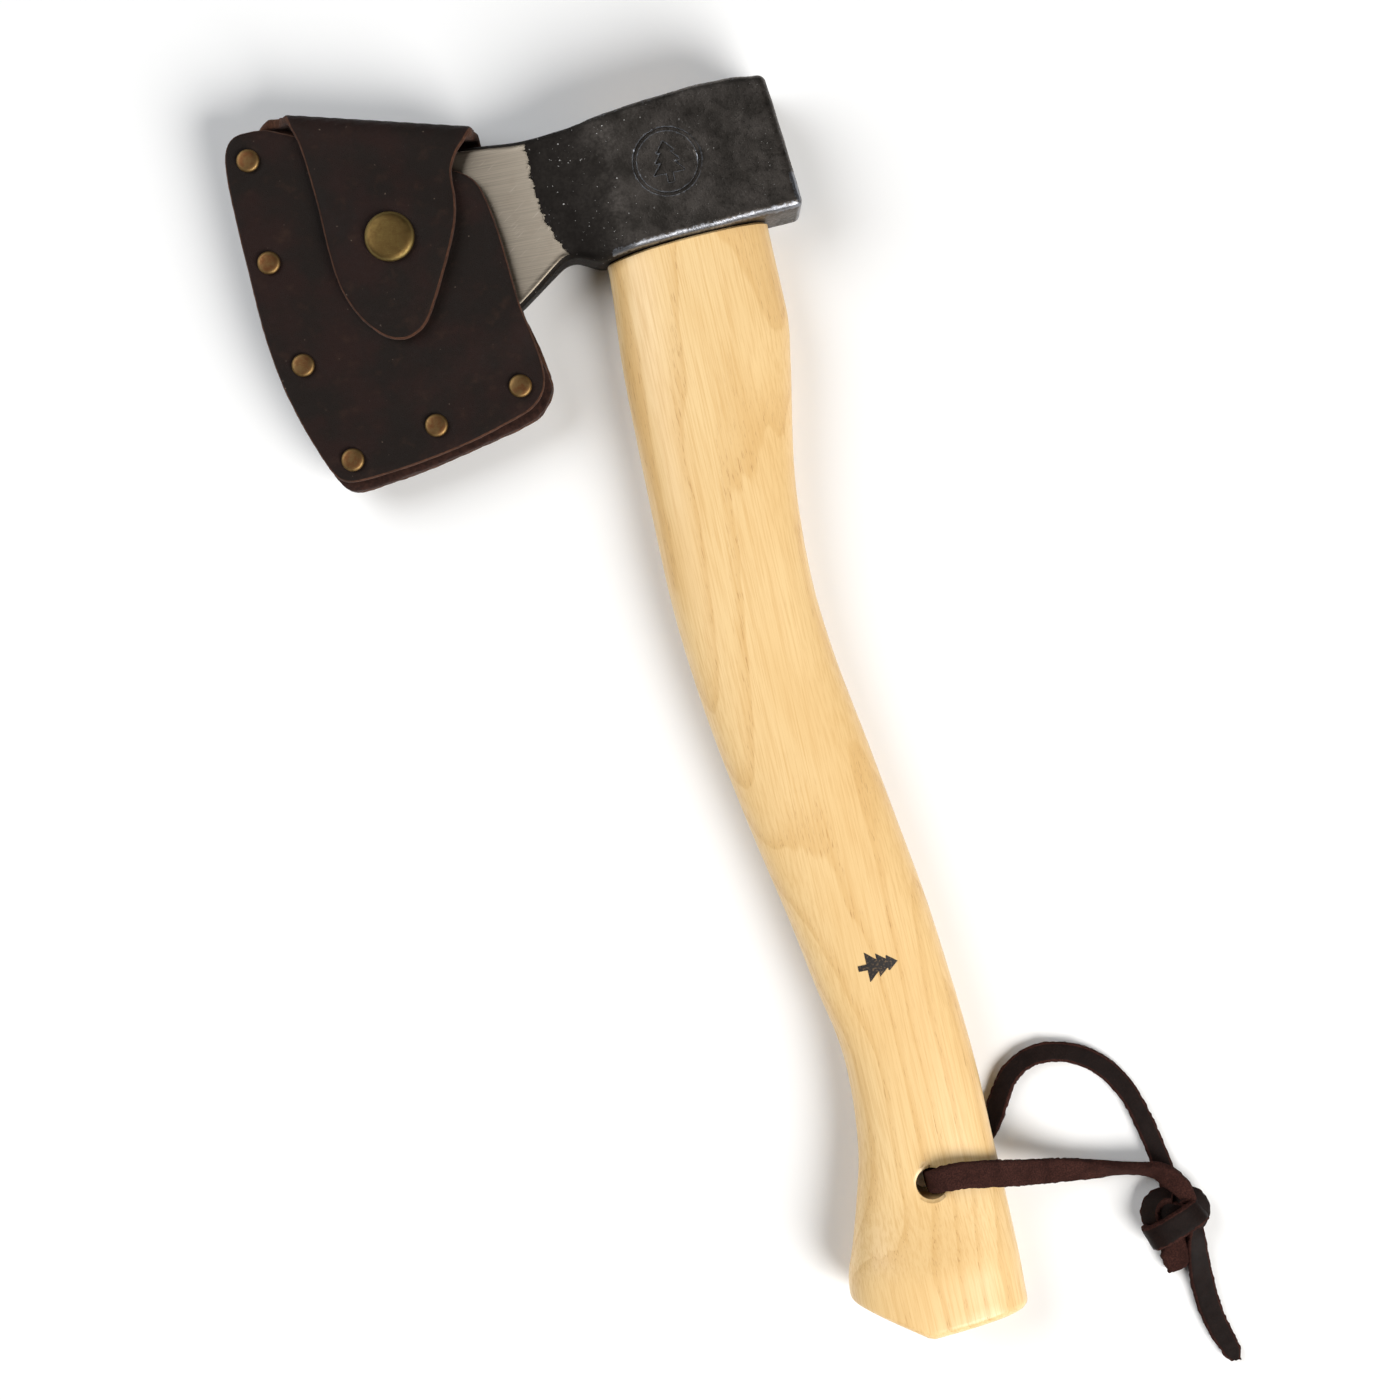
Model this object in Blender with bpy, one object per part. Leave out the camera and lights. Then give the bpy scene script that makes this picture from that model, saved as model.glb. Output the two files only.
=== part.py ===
"""A small camping hatchet with a riveted leather blade sheath and a leather wrist lanyard.

The hatchet lies on its side. The origin is the centre of the head's lower cheek, on the surface
that the tool lies on. +Z is up, +Y runs along the handle towards the top of the head, and the
cutting edge points along -X. Points are drawn in millimetres from the middle of the eye at the
foot of the head, and at() moves them to the origin.
"""
import math

import bmesh
import bpy
from mathutils import Matrix, Vector

MM = 0.001
GAP = 0.3                     # clearance between pieces that touch
HEAD_MIDDLE_Y = 20.0          # the origin's height above the drawing's zero, at the head's foot
MID_Z = 14.0                  # the plane that the tool is symmetrical about

# Head: half its thickness, and its top and foot lines, along X.
CHEEK_HALF = 14.0
HEAD_HALF = [(-119.1, 0.2), (-112.0, 1.1), (-96.0, 2.1), (-75.0, 3.3), (-54.0, 5.0), (-40.0, 7.2),
             (-30.0, 9.9), (-22.0, 12.6), (-15.0, CHEEK_HALF), (40.0, CHEEK_HALF)]
HEAD_TOP = [(-119.1, 58.3), (-104.0, 53.0), (-86.0, 47.0), (-70.0, 43.4), (-54.0, 41.3), (-41.0, 39.9),
            (-31.0, 39.9), (-20.0, 40.9), (-12.0, 41.7), (0.0, 42.7), (11.0, 43.4), (22.0, 43.2), (35.1, 42.2)]
HEAD_FOOT = [(-119.1, -36.0), (-100.0, -27.5), (-80.0, -19.0), (-66.0, -13.6), (-54.0, -9.2),
             (-48.0, -5.2), (-42.0, -1.0), (-38.0, 1.6), (-34.5, 1.9), (-31.5, 0.4), (-28.5, -1.2),
             (-24.0, -1.3), (-12.0, -0.4), (0.0, 0.1), (14.0, 0.5), (35.1, 0.9)]
HEAD_STATIONS = [22.0, 11.0, 0.0, -12.0, -15.0, -20.0, -24.0, -28.5, -31.5, -34.5, -38.0, -42.0,
                 -48.0, -54.0, -62.0, -72.0, -84.0, -96.0, -106.0, -112.0, -116.5, -119.1]
STRAIGHT_UNTIL_X = -72.0      # beyond here the head's columns follow the curved cutting edge
EDGE_CURVE = [(0.0, -109.8), (0.2, -114.4), (0.43, -117.9), (0.68, -119.1), (0.95, -117.6), (1.0, -115.4)]
POLL_FOOT = (35.2, 0.9)
POLL_TOP = (32.0, 42.2)
POLL_SLANT_FROM_X = 30.0
HEAD_CHAMFER = 1.6
FACE_ROWS = 6

# Eye of the head and the tongue of the handle inside it.
EYE_X = -1.1
EYE_HALF_LENGTH = 22.5
EYE_HALF_WIDTH = 8.75
EYE_ROUNDNESS = 2.6
TONGUE_TOP_Y = 40.4
KERF_FOOT_Y = 8.0
KERF_FOOT_HALF = 0.8
KERF_TOP_HALF = 2.6
RING_OUTER = 6.2
RING_INNER = 4.8
RING_DEPTH = 9.0

# Handle: its two side lines and half its thickness, along Y.
HANDLE_LEFT = [(-323.0, -22.6), (-315.0, -22.0), (-306.0, -18.8), (-294.0, -14.9), (-281.0, -11.3),
               (-268.0, -9.4), (-254.0, -8.7), (-242.0, -9.6), (-228.0, -12.3), (-206.0, -15.8),
               (-182.0, -20.3), (-156.0, -24.6), (-136.0, -27.2), (-116.0, -28.9), (-96.0, -29.5),
               (-54.0, -28.9), (-33.0, -28.3), (0.0, -25.9)]
HANDLE_RIGHT = [(-334.8, 29.3), (-315.0, 29.9), (-284.0, 29.8), (-258.0, 29.6), (-232.0, 28.1),
                (-208.0, 25.9), (-183.0, 22.6), (-158.0, 19.2), (-134.0, 15.6), (-120.0, 14.2),
                (-107.0, 13.6), (-92.0, 14.0), (-73.0, 15.8), (-41.0, 21.9), (-26.0, 24.0), (0.0, 23.9)]
HANDLE_HALF = [(-334.0, 14.0), (-320.0, 14.0), (-308.0, 12.4), (-297.0, 11.0), (-285.0, 10.8),
               (-250.0, 11.1), (-200.0, 11.4), (-120.0, 11.2), (-80.0, 11.6), (0.0, 11.9)]
HANDLE_ROUNDNESS = 2.3
HANDLE_SHOULDER_Y = -1.7
HANDLE_STEP = 12.0
KNOB_START_Y = -300.0
KNOB_LEFT_END_Y = -323.0
KNOB_RIGHT_END_Y = -334.8
KNOB_RIDGE = (-1.8, -336.2)
KNOB_ARRIS = 3.0
OVAL_POINTS = 28
LACE_HOLE = (8.3, -290.9)
LACE_HOLE_R = 4.6
LACE_HOLE_MOUTH_R = 6.4
LACE_HOLE_CONE = 1.8

# Sheath: leather and welt, and the half gap between the panels' inner faces. The front panel is cut
# a little shorter along the foot than the welt and the back panel.
LEATHER = 3.0
WELT_HALF = 1.7
FLAT_HALF = WELT_HALF + GAP
BLADE_CLEARANCE = 0.5
SHEATH_SIDE = [(-117.0, 60.2), (-122.0, 60.6), (-126.6, 60.2), (-129.8, 57.0), (-131.3, 50.0), (-131.6, 35.0),
               (-131.3, 17.9), (-130.8, 0.9), (-129.2, -13.6), (-126.4, -26.0), (-122.8, -37.5)]
SHEATH_FOOT = [(-119.2, -46.6), (-116.4, -50.6), (-111.2, -51.5), (-93.5, -49.5), (-78.8, -46.9),
               (-58.6, -42.4), (-53.0, -38.7), (-49.9, -34.2)]
FRONT_FOOT = [(-119.6, -45.2), (-116.6, -48.2), (-110.9, -48.9), (-95.0, -47.6), (-78.1, -44.9),
              (-61.1, -40.4), (-56.0, -38.0), (-52.9, -34.8), (-51.5, -30.4)]
FRONT_REST = [(-51.5, -24.5), (-52.6, -16.2), (-54.0, -7.5), (-55.3, 14.0), (-57.6, 28.0), (-61.0, 33.2),
              (-66.0, 36.2)]
BACK_REST = [(-50.3, -26.5), (-52.2, -16.2), (-54.0, -7.5), (-55.3, 14.0), (-56.6, 32.0)]
WELT_INNER = [(-51.0, -25.5), (-70.0, -30.0), (-90.0, -34.6), (-109.8, -38.6), (-113.6, -32.0), (-118.2, -14.0),
              (-120.5, 5.0), (-120.9, 25.0), (-120.8, 45.0), (-120.6, 59.6)]
WELT_FOOT_SLOPE = 0.22        # the rise of the welt's inner edge along the foot, towards +X
SLAB_CELL = 6.0

# Flap: the fold line over the blade's top, and the tongue's outline below it.
FOLD_LEFT = (-112.4, 63.5)
FOLD_RIGHT = (-56.1, 47.1)
FOLD_BACK_HALF = 5.0
FOLD_FRONT_HALF = 7.2
FOLD_EASE = 12.0
FOLD_START_X = -120.0
FOLD_START_EASE = 8.0
TONGUE_EDGE = [(-62.0, 40.4), (-65.0, 35.0), (-65.6, 26.8), (-67.4, 18.9), (-72.6, 8.1), (-79.6, -4.1),
               (-83.2, -8.6), (-88.0, -10.9), (-92.4, -10.4), (-96.4, -7.9), (-101.5, -1.4), (-105.0, 7.7),
               (-106.2, 19.6), (-106.4, 32.8), (-107.2, 46.9), (-107.8, 53.6)]
TONGUE_SLACK = 0.5

# Snap fastener and rivets.
SNAP = (-87.1, 19.3)
SNAP_CAP_R = 7.5
SNAP_LIFT = 2.4
SNAP_FLAT_R = 8.0
SNAP_EASE = 9.0
RIVETS = [(-124.0, 52.0), (-124.6, 20.8), (-121.3, -11.4), (-113.0, -42.3), (-86.3, -37.7), (-59.2, -31.7)]
RIVET_HEAD_R = 3.5
RIVET_HEAD_HEIGHT = 1.5
RIVET_POST_R = 1.5
RIVET_HOLE_R = 1.8

# Lanyard: one leather lace through the handle's hole, its two ends tied in one knot.
LACE_R = 1.4
LACE_SPACING = 6.0
FRONT_STRAND = [(8.3, -290.9, 14.6), (8.3, -290.9, 21.0), (8.8, -290.3, 25.0), (11.6, -289.8, 27.4),
                (17.3, -290.0, 27.4), (23.0, -291.2, 25.5), (29.0, -292.9, 21.8), (35.5, -295.0, 16.8),
                (42.0, -296.9, 11.8), (49.0, -298.8, 7.8), (57.0, -300.9, 5.2), (65.0, -302.5, 4.5),
                (71.8, -304.0, 5.0), (77.1, -305.8, 6.6), (80.6, -309.0, 7.6)]
BACK_STRAND = [(8.3, -290.9, 14.0), (8.3, -290.9, 8.0), (8.9, -290.8, 4.2), (12.0, -290.5, 1.9),
               (17.5, -289.6, 1.5), (24.5, -286.6, 1.6), (30.6, -281.2, 1.9), (34.9, -274.5, 2.1),
               (38.4, -269.2, 2.1), (42.6, -265.7, 2.0), (47.6, -263.9, 1.9), (53.6, -263.8, 1.8),
               (60.2, -265.9, 1.7), (66.4, -270.0, 1.6), (71.2, -275.8, 1.5), (74.6, -283.0, 1.5),
               (76.7, -290.7, 1.5), (78.2, -298.2, 1.5), (79.3, -305.0, 1.6), (79.9, -309.2, 2.0)]
KNOT_CENTRE = (78.8, -321.6, 6.3)
KNOT_HALF = (9.4, 10.6, 6.0)
LONG_TAIL = [(83.8, -332.6, 3.2), (83.5, -338.5, 2.2), (83.5, -344.5, 1.7), (83.9, -350.7, 1.5),
             (85.3, -357.8, 1.5), (87.2, -363.9, 1.5), (88.3, -368.2, 1.5)]
SHORT_TAIL = [(76.7, -333.2, 3.0), (75.7, -335.3, 2.5), (74.7, -337.2, 2.0)]


def at(x, y, z=0.0):
    """A drawn point, in metres from the origin."""
    return Vector((x, y - HEAD_MIDDLE_Y, z)) * MM


def lerp(a, b, t):
    return a + (b - a) * t


def ease(t):
    """A smooth step from 0 to 1."""
    t = min(max(t, 0.0), 1.0)
    return t * t * (3.0 - 2.0 * t)


def read_curve(table, x, smooth=True):
    """The value at x on a curve through (position, value) pairs, in rising order of position."""
    if x <= table[0][0]:
        return table[0][1]
    if x >= table[-1][0]:
        return table[-1][1]
    k = max(i for i in range(len(table) - 1) if table[i][0] <= x)
    (x0, y0), (x1, y1) = table[k], table[k + 1]
    t = (x - x0) / (x1 - x0)
    if not smooth:
        return lerp(y0, y1, t)

    def rise(i):
        low, high = table[max(i - 1, 0)], table[min(i + 1, len(table) - 1)]
        turns_back = (table[i][1] - low[1]) * (high[1] - table[i][1]) <= 0
        return 0.0 if turns_back else (high[1] - low[1]) / (high[0] - low[0]) * (x1 - x0)

    h = ease(t)
    return lerp(y0, y1, h) + rise(k) * t * (1 - t) ** 2 - rise(k + 1) * t * t * (1 - t)


def curve_through(points, steps, closed=False):
    """Points along a Catmull-Rom curve, with this many steps between each two given points."""
    points = [Vector(p) for p in points]
    count = len(points)
    spans = count if closed else count - 1

    def pick(i):
        return points[i % count] if closed else points[min(max(i, 0), count - 1)]

    line = []
    for i in range(spans):
        p0, p1, p2, p3 = (pick(i + k) for k in (-1, 0, 1, 2))
        for step in range(steps):
            t = step / steps
            line.append(0.5 * (2 * p1 + (p2 - p0) * t + (2 * p0 - 5 * p1 + 4 * p2 - p3) * t ** 2
                               + (3 * p1 - p0 - 3 * p2 + p3) * t ** 3))
    return line if closed else line + [points[-1]]


def even_points(line, spacing):
    """Evenly spaced points along a line, with both its ends."""
    lengths = [0.0]
    for a, b in zip(line, line[1:]):
        lengths.append(lengths[-1] + (b - a).length)
    count = max(2, round(lengths[-1] / spacing))
    result = []
    for i in range(count + 1):
        goal = lengths[-1] * i / count
        k = max(j for j in range(len(lengths) - 1) if lengths[j] <= goal + 1e-9)
        t = (goal - lengths[k]) / max(lengths[k + 1] - lengths[k], 1e-9)
        result.append(line[k].lerp(line[k + 1], min(t, 1.0)))
    return result


def linear(red, green, blue):
    """A screen colour from 0 to 255 as linear light."""
    return tuple(((c / 255 + 0.055) / 1.055) ** 2.4 if c > 10 else c / 255 / 12.92 for c in (red, green, blue))


def make_material(name, rgb, roughness, metallic=0.0):
    material = bpy.data.materials.new(name)
    material.use_nodes = True
    shader = material.node_tree.nodes["Principled BSDF"]
    shader.inputs["Base Color"].default_value = (*linear(*rgb), 1.0)
    shader.inputs["Roughness"].default_value = roughness
    shader.inputs["Metallic"].default_value = metallic
    material.diffuse_color = (*linear(*rgb), 1.0)
    return material


def add_object(name, bm, material=None, location=(0.0, 0.0, 0.0), smooth_angle=35.0):
    """A mesh object from a bmesh, with its faces turned outwards."""
    bmesh.ops.remove_doubles(bm, verts=bm.verts, dist=1e-6)
    bmesh.ops.recalc_face_normals(bm, faces=bm.faces)
    mesh = bpy.data.meshes.new(name)
    bm.to_mesh(mesh)
    bm.free()
    mesh.shade_smooth()
    mesh.set_sharp_from_angle(angle=math.radians(smooth_angle))
    if material:
        mesh.materials.append(material)
    obj = bpy.data.objects.new(name, mesh)
    obj.location = location
    bpy.context.scene.collection.objects.link(obj)
    return obj


def hide_cutter(obj):
    obj.hide_render = True
    obj.display_type = "WIRE"
    return obj


def cut(obj, cutter, operation="DIFFERENCE"):
    modifier = obj.modifiers.new(cutter.name, "BOOLEAN")
    modifier.operation = operation
    modifier.solver = "EXACT"
    modifier.object = cutter


def ring_solid(bm, rings, mirror_index):
    """Bridges equal rings and closes both ends, each with a ladder of faces from side to side.

    Point i of a ring faces point mirror_index - i across the middle plane.
    """
    rings = [[bm.verts.new(point) for point in ring] for ring in rings]
    count = len(rings[0])
    for low, high in zip(rings, rings[1:]):
        for i in range(count):
            j = (i + 1) % count
            bm.faces.new((low[i], low[j], high[j], high[i]))
    for ring in (rings[0], rings[-1]):
        for i in range((mirror_index + 1) // 2 if mirror_index else count // 2):
            j = i + 1
            corners = [ring[i], ring[j], ring[(mirror_index - j) % count], ring[(mirror_index - i) % count]]
            face = list(dict.fromkeys(corners))
            if len(face) > 2:
                bm.faces.new(face)


def turned(name, profile, material=None, location=(0.0, 0.0, 0.0), sides=20, axis="Z"):
    """A solid turned from (radius, height) pairs. A profile off the axis is closed into a ring."""
    bm = bmesh.new()
    verts = [bm.verts.new((r * MM, 0.0, z * MM)) for r, z in profile]
    edges = [bm.edges.new(pair) for pair in zip(verts, verts[1:])]
    if profile[0][0] > 0:
        edges.append(bm.edges.new((verts[-1], verts[0])))
    bmesh.ops.spin(bm, geom=verts + edges, cent=(0, 0, 0), axis=(0, 0, 1), angle=math.tau, steps=sides)
    if axis == "Y":
        bmesh.ops.rotate(bm, verts=bm.verts, matrix=Matrix.Rotation(-math.pi / 2, 3, "X"))
    return add_object(name, bm, material, location)


def prism(name, outline, low_z, high_z, material=None):
    """An upright prism over a drawn outline."""
    bm = bmesh.new()
    floor = bm.faces.new([bm.verts.new(at(x, y, low_z)) for x, y in outline])
    top = bmesh.ops.extrude_face_region(bm, geom=[floor])["geom"]
    lift = (0.0, 0.0, (high_z - low_z) * MM)
    bmesh.ops.translate(bm, verts=[g for g in top if isinstance(g, bmesh.types.BMVert)], vec=lift)
    return add_object(name, bm, material)


def oval(centre_x, half_length, half_width, roundness):
    """Points (x, z) of a superellipse around the middle plane, from its +X end."""
    points = []
    for i in range(OVAL_POINTS):
        angle = math.tau * i / OVAL_POINTS
        c, s = math.cos(angle), math.sin(angle)
        x = math.copysign(abs(c) ** (2 / roundness), c) if abs(c) > 1e-9 else 0.0
        z = math.copysign(abs(s) ** (2 / roundness), s) if abs(s) > 1e-9 else 0.0
        points.append((centre_x + half_length * x, MID_Z + half_width * z))
    return points


# ---------------------------------------------------------------- head

def head_ring(station, inset=0.0):
    """One ring of the head: up its upper cheek, and back down its lower cheek."""
    half = read_curve(HEAD_HALF, station) - inset
    foot = read_curve(HEAD_FOOT, station, smooth=False) + inset
    top = read_curve(HEAD_TOP, station) - inset
    chamfer = min(HEAD_CHAMFER, half * 0.4)
    upper = [(foot, half - chamfer)]
    upper += [(lerp(foot + chamfer, top - chamfer, row / FACE_ROWS), half) for row in range(FACE_ROWS + 1)]
    upper += [(top, half - chamfer)]
    ring = []
    for side, points in ((1, upper), (-1, upper[::-1])):
        ring += [at(head_x(station, y, foot, top), y, MID_Z + side * z) for y, z in points]
    return ring


def head_x(station, y, foot, top):
    """The X of a point of a station: the poll is a little slanted and the cutting edge is curved."""
    if station > POLL_SLANT_FROM_X:
        slant = (POLL_TOP[0] - POLL_FOOT[0]) / (POLL_TOP[1] - POLL_FOOT[1])
        return station + slant * (y - POLL_FOOT[1])
    if station > STRAIGHT_UNTIL_X:
        return station
    t = (station - STRAIGHT_UNTIL_X) / (HEAD_HALF[0][0] - STRAIGHT_UNTIL_X)
    edge = read_curve(EDGE_CURVE, (y - foot) / (top - foot))
    return lerp(STRAIGHT_UNTIL_X, edge, t)


def build_head(material):
    bm = bmesh.new()
    rings = [head_ring(POLL_FOOT[0], HEAD_CHAMFER), head_ring(POLL_FOOT[0] - HEAD_CHAMFER)]
    rings += [head_ring(station) for station in HEAD_STATIONS]
    ring_solid(bm, rings, len(rings[0]) - 1)
    head = add_object("head", bm, material)
    bm = bmesh.new()
    eye = oval(EYE_X, EYE_HALF_LENGTH, EYE_HALF_WIDTH, EYE_ROUNDNESS)
    ring_solid(bm, [[at(x, y, z) for x, z in eye] for y in (-20.0, 70.0)], 0)
    cut(head, hide_cutter(add_object("eye_cutter", bm)))
    return head


# ---------------------------------------------------------------- handle

def handle_ring(y, inset=0.0):
    left = read_curve(HANDLE_LEFT, y) + inset
    right = read_curve(HANDLE_RIGHT, y) - inset
    half = read_curve(HANDLE_HALF, y) - inset
    section = oval((left + right) / 2, (right - left) / 2, half, HANDLE_ROUNDNESS)
    return [at(x, y, z) for x, z in section]


def knob_ring(t, push=0.0, inset=0.0):
    """A ring of the knob, whose end is a shallow roof: t runs from its start to its end."""
    left_y = lerp(KNOB_START_Y, KNOB_LEFT_END_Y + KNOB_ARRIS, t)
    right_y = lerp(KNOB_START_Y, KNOB_RIGHT_END_Y + KNOB_ARRIS, t)
    ridge_y = lerp(KNOB_START_Y, KNOB_RIDGE[1] + KNOB_ARRIS, t)
    left = read_curve(HANDLE_LEFT, left_y) + inset
    right = read_curve(HANDLE_RIGHT, right_y) - inset
    half = read_curve(HANDLE_HALF, ridge_y) - inset
    roof = [(left, left_y), (KNOB_RIDGE[0], ridge_y), (right, right_y)]
    section = oval((left + right) / 2, (right - left) / 2, half, HANDLE_ROUNDNESS)
    return [at(x, read_curve(roof, x, smooth=False) - push, z) for x, z in section]


def tongue_ring(y):
    section = oval(EYE_X, EYE_HALF_LENGTH - GAP, EYE_HALF_WIDTH - GAP, EYE_ROUNDNESS)
    return [at(x, y, z) for x, z in section]


def build_handle(material):
    rings = [tongue_ring(TONGUE_TOP_Y), tongue_ring(HANDLE_SHOULDER_Y), handle_ring(HANDLE_SHOULDER_Y)]
    count = round((HANDLE_SHOULDER_Y - KNOB_START_Y) / HANDLE_STEP)
    rings += [handle_ring(lerp(HANDLE_SHOULDER_Y, KNOB_START_Y, i / count)) for i in range(1, count)]
    rings += [knob_ring(t) for t in (0.0, 0.35, 0.7, 1.0)]
    for degrees in (30.0, 60.0, 90.0):
        turn = math.radians(degrees)
        rings.append(knob_ring(1.0, KNOB_ARRIS * math.sin(turn), KNOB_ARRIS * (1 - math.cos(turn))))
    bm = bmesh.new()
    ring_solid(bm, rings, 0)
    handle = add_object("handle", bm, material)
    cut(handle, kerf_cutter())
    cut(handle, ring_groove_cutter())
    cut(handle, lace_hole_cutter())
    return handle


def kerf_half(y):
    return lerp(KERF_FOOT_HALF, KERF_TOP_HALF, (y - KERF_FOOT_Y) / (TONGUE_TOP_Y - KERF_FOOT_Y))


def wedge_shape(name, foot_y, top_y, half_length, slack, material=None):
    """A wedge along the eye: thick at its top and thin at its foot."""
    rings = []
    for y in (foot_y, top_y):
        half = kerf_half(y) - slack
        corners = ((1, 1), (-1, 1), (-1, -1), (1, -1))
        rings.append([at(EYE_X + sx * half_length, y, MID_Z + sz * half) for sx, sz in corners])
    bm = bmesh.new()
    ring_solid(bm, rings, len(rings[0]) - 1)
    return add_object(name, bm, material)


def kerf_cutter():
    return hide_cutter(wedge_shape("kerf_cutter", KERF_FOOT_Y, TONGUE_TOP_Y + 5, EYE_HALF_LENGTH + 5, 0.0))


def ring_groove_cutter():
    """The round groove that the steel wedge makes across the tongue and the wooden wedge."""
    if "ring_groove_cutter" in bpy.data.objects:
        return bpy.data.objects["ring_groove_cutter"]
    inner, outer = RING_INNER - GAP, RING_OUTER + GAP
    profile = [(inner, 0.0), (outer, 0.0), (outer, RING_DEPTH + 5), (inner, RING_DEPTH + 5)]
    place = at(EYE_X, TONGUE_TOP_Y - RING_DEPTH - GAP, MID_Z)
    return hide_cutter(turned("ring_groove_cutter", profile, location=place, axis="Y"))


def lace_hole_cutter():
    half = read_curve(HANDLE_HALF, LACE_HOLE[1])
    mouth, cone = LACE_HOLE_MOUTH_R, half - LACE_HOLE_CONE
    profile = [(0, -half - 2), (mouth + 2, -half - 2), (mouth, -half), (LACE_HOLE_R, -cone),
               (LACE_HOLE_R, cone), (mouth, half), (mouth + 2, half + 2), (0, half + 2)]
    return hide_cutter(turned("lace_hole_cutter", profile, location=at(*LACE_HOLE, MID_Z)))


def build_wedges(wood, steel):
    wedge = wedge_shape("wooden_wedge", KERF_FOOT_Y + 2, TONGUE_TOP_Y, EYE_HALF_LENGTH - 3, GAP, wood)
    cut(wedge, ring_groove_cutter())
    taper = 0.4
    profile = [(RING_INNER + taper, 0.0), (RING_OUTER - taper, 0.0), (RING_OUTER, RING_DEPTH),
               (RING_INNER, RING_DEPTH)]
    turned("ring_wedge", profile, steel, at(EYE_X, TONGUE_TOP_Y - RING_DEPTH, MID_Z), axis="Y")


# ---------------------------------------------------------------- sheath

def fold_direction():
    return (Vector(FOLD_LEFT) - Vector(FOLD_RIGHT)).normalized()


def fold_outward():
    """The direction across the fold line, away from the blade."""
    along = fold_direction()
    return Vector((along.y, -along.x))


def inside_fold(x, y):
    """How far a point lies inside the leather's inner fold line."""
    return -(Vector((x, y)) - Vector(FOLD_RIGHT)).dot(fold_outward()) - LEATHER


def pocket_half(x, y):
    """Half the gap between the inner faces of the panels: pinched at the welt, open at the blade."""
    open_half = max(FLAT_HALF, read_curve(HEAD_HALF, x) + BLADE_CLEARANCE)
    welt_y = WELT_INNER[0][1] + WELT_FOOT_SLOPE * (x - WELT_INNER[0][0])
    blade_y = read_curve(HEAD_FOOT, x, smooth=False)
    return lerp(FLAT_HALF, open_half, ease((y - welt_y) / (blade_y - welt_y)))


def front_half(x, y):
    """The front panel's inner face, with a flat spot under the snap."""
    flat = pocket_half(*SNAP)
    away = (Vector((x, y)) - Vector(SNAP)).length
    return lerp(flat, pocket_half(x, y), ease((away - SNAP_FLAT_R) / SNAP_EASE))


def back_half(x, y):
    """The back panel's inner face, which spreads to a level line where it meets the fold."""
    near = ease(1 - inside_fold(x, y) / FOLD_EASE) * ease((x - FOLD_START_X) / FOLD_START_EASE)
    return lerp(pocket_half(x, y), FOLD_BACK_HALF, near)


def tongue_half(x, y):
    """The tongue's inner face, over the front panel, raised at the snap and level at the fold."""
    away = (Vector((x, y)) - Vector(SNAP)).length
    lift = lerp(TONGUE_SLACK, SNAP_LIFT, ease(1 - (away - SNAP_FLAT_R) / (2 * SNAP_EASE)))
    near = ease(1 - inside_fold(x, y) / FOLD_EASE)
    return lerp(front_half(x, y) + LEATHER + lift, FOLD_FRONT_HALF, near)


def leather_slab(name, outline, half, side, material):
    """A sheet of leather over an outline: its inner face follows half(x, y) on one side of the blade."""
    xs = [p[0] for p in outline]
    ys = [p[1] for p in outline]
    columns = math.ceil((max(xs) - min(xs)) / SLAB_CELL) + 1
    rows = math.ceil((max(ys) - min(ys)) / SLAB_CELL) + 1
    bm = bmesh.new()
    layers = []
    for depth in (0.0, LEATHER):
        layer = {}
        for i in range(columns + 1):
            for j in range(rows + 1):
                x, y = min(xs) - 2 + i * SLAB_CELL, min(ys) - 2 + j * SLAB_CELL
                layer[i, j] = bm.verts.new(at(x, y, MID_Z + side * (half(x, y) + depth)))
        layers.append(layer)
        for i in range(columns):
            for j in range(rows):
                bm.faces.new([layer[c] for c in ((i, j), (i + 1, j), (i + 1, j + 1), (i, j + 1))])
    border = [(i, 0) for i in range(columns)] + [(columns, j) for j in range(rows)]
    border += [(i, rows) for i in range(columns, 0, -1)] + [(0, j) for j in range(rows, 0, -1)]
    for a, b in zip(border, border[1:] + border[:1]):
        bm.faces.new((layers[0][a], layers[0][b], layers[1][b], layers[1][a]))
    slab = add_object(name, bm, material)
    cut(slab, hide_cutter(prism(name + "_outline", outline, -20.0, 60.0)), "INTERSECT")
    return slab


def inner_fold(point, extra=0.0):
    """A point of the fold line, moved inwards by the leather's thickness."""
    return tuple(Vector(point) - fold_outward() * (LEATHER + extra))


def rivet_hole_cutter():
    bm = bmesh.new()
    for x, y in RIVETS:
        place = Matrix.Translation(at(x, y, MID_Z))
        bmesh.ops.create_cone(bm, cap_ends=True, segments=16, radius1=RIVET_HOLE_R * MM,
                              radius2=RIVET_HOLE_R * MM, depth=30 * MM, matrix=place)
    return hide_cutter(add_object("rivet_hole_cutter", bm))


def build_sheath(leather, welt_leather):
    front = curve_through(SHEATH_SIDE + FRONT_FOOT + FRONT_REST, 2)
    back = curve_through(SHEATH_SIDE + SHEATH_FOOT + BACK_REST, 2)
    back += [Vector(inner_fold(FOLD_RIGHT, GAP)), Vector(inner_fold(FOLD_LEFT, GAP))]
    holes = rivet_hole_cutter()
    front_panel = leather_slab("sheath_front_panel", front, front_half, 1, leather)
    back_panel = leather_slab("sheath_back_panel", back, back_half, -1, leather)
    welt_edge = curve_through(SHEATH_SIDE[1:] + SHEATH_FOOT, 2) + curve_through(WELT_INNER, 2)
    welt = prism("sheath_welt", welt_edge, MID_Z - WELT_HALF, MID_Z + WELT_HALF, welt_leather)
    for piece in (front_panel, back_panel, welt):
        cut(piece, holes)
    cut(front_panel, snap_seat_cutter())


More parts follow.
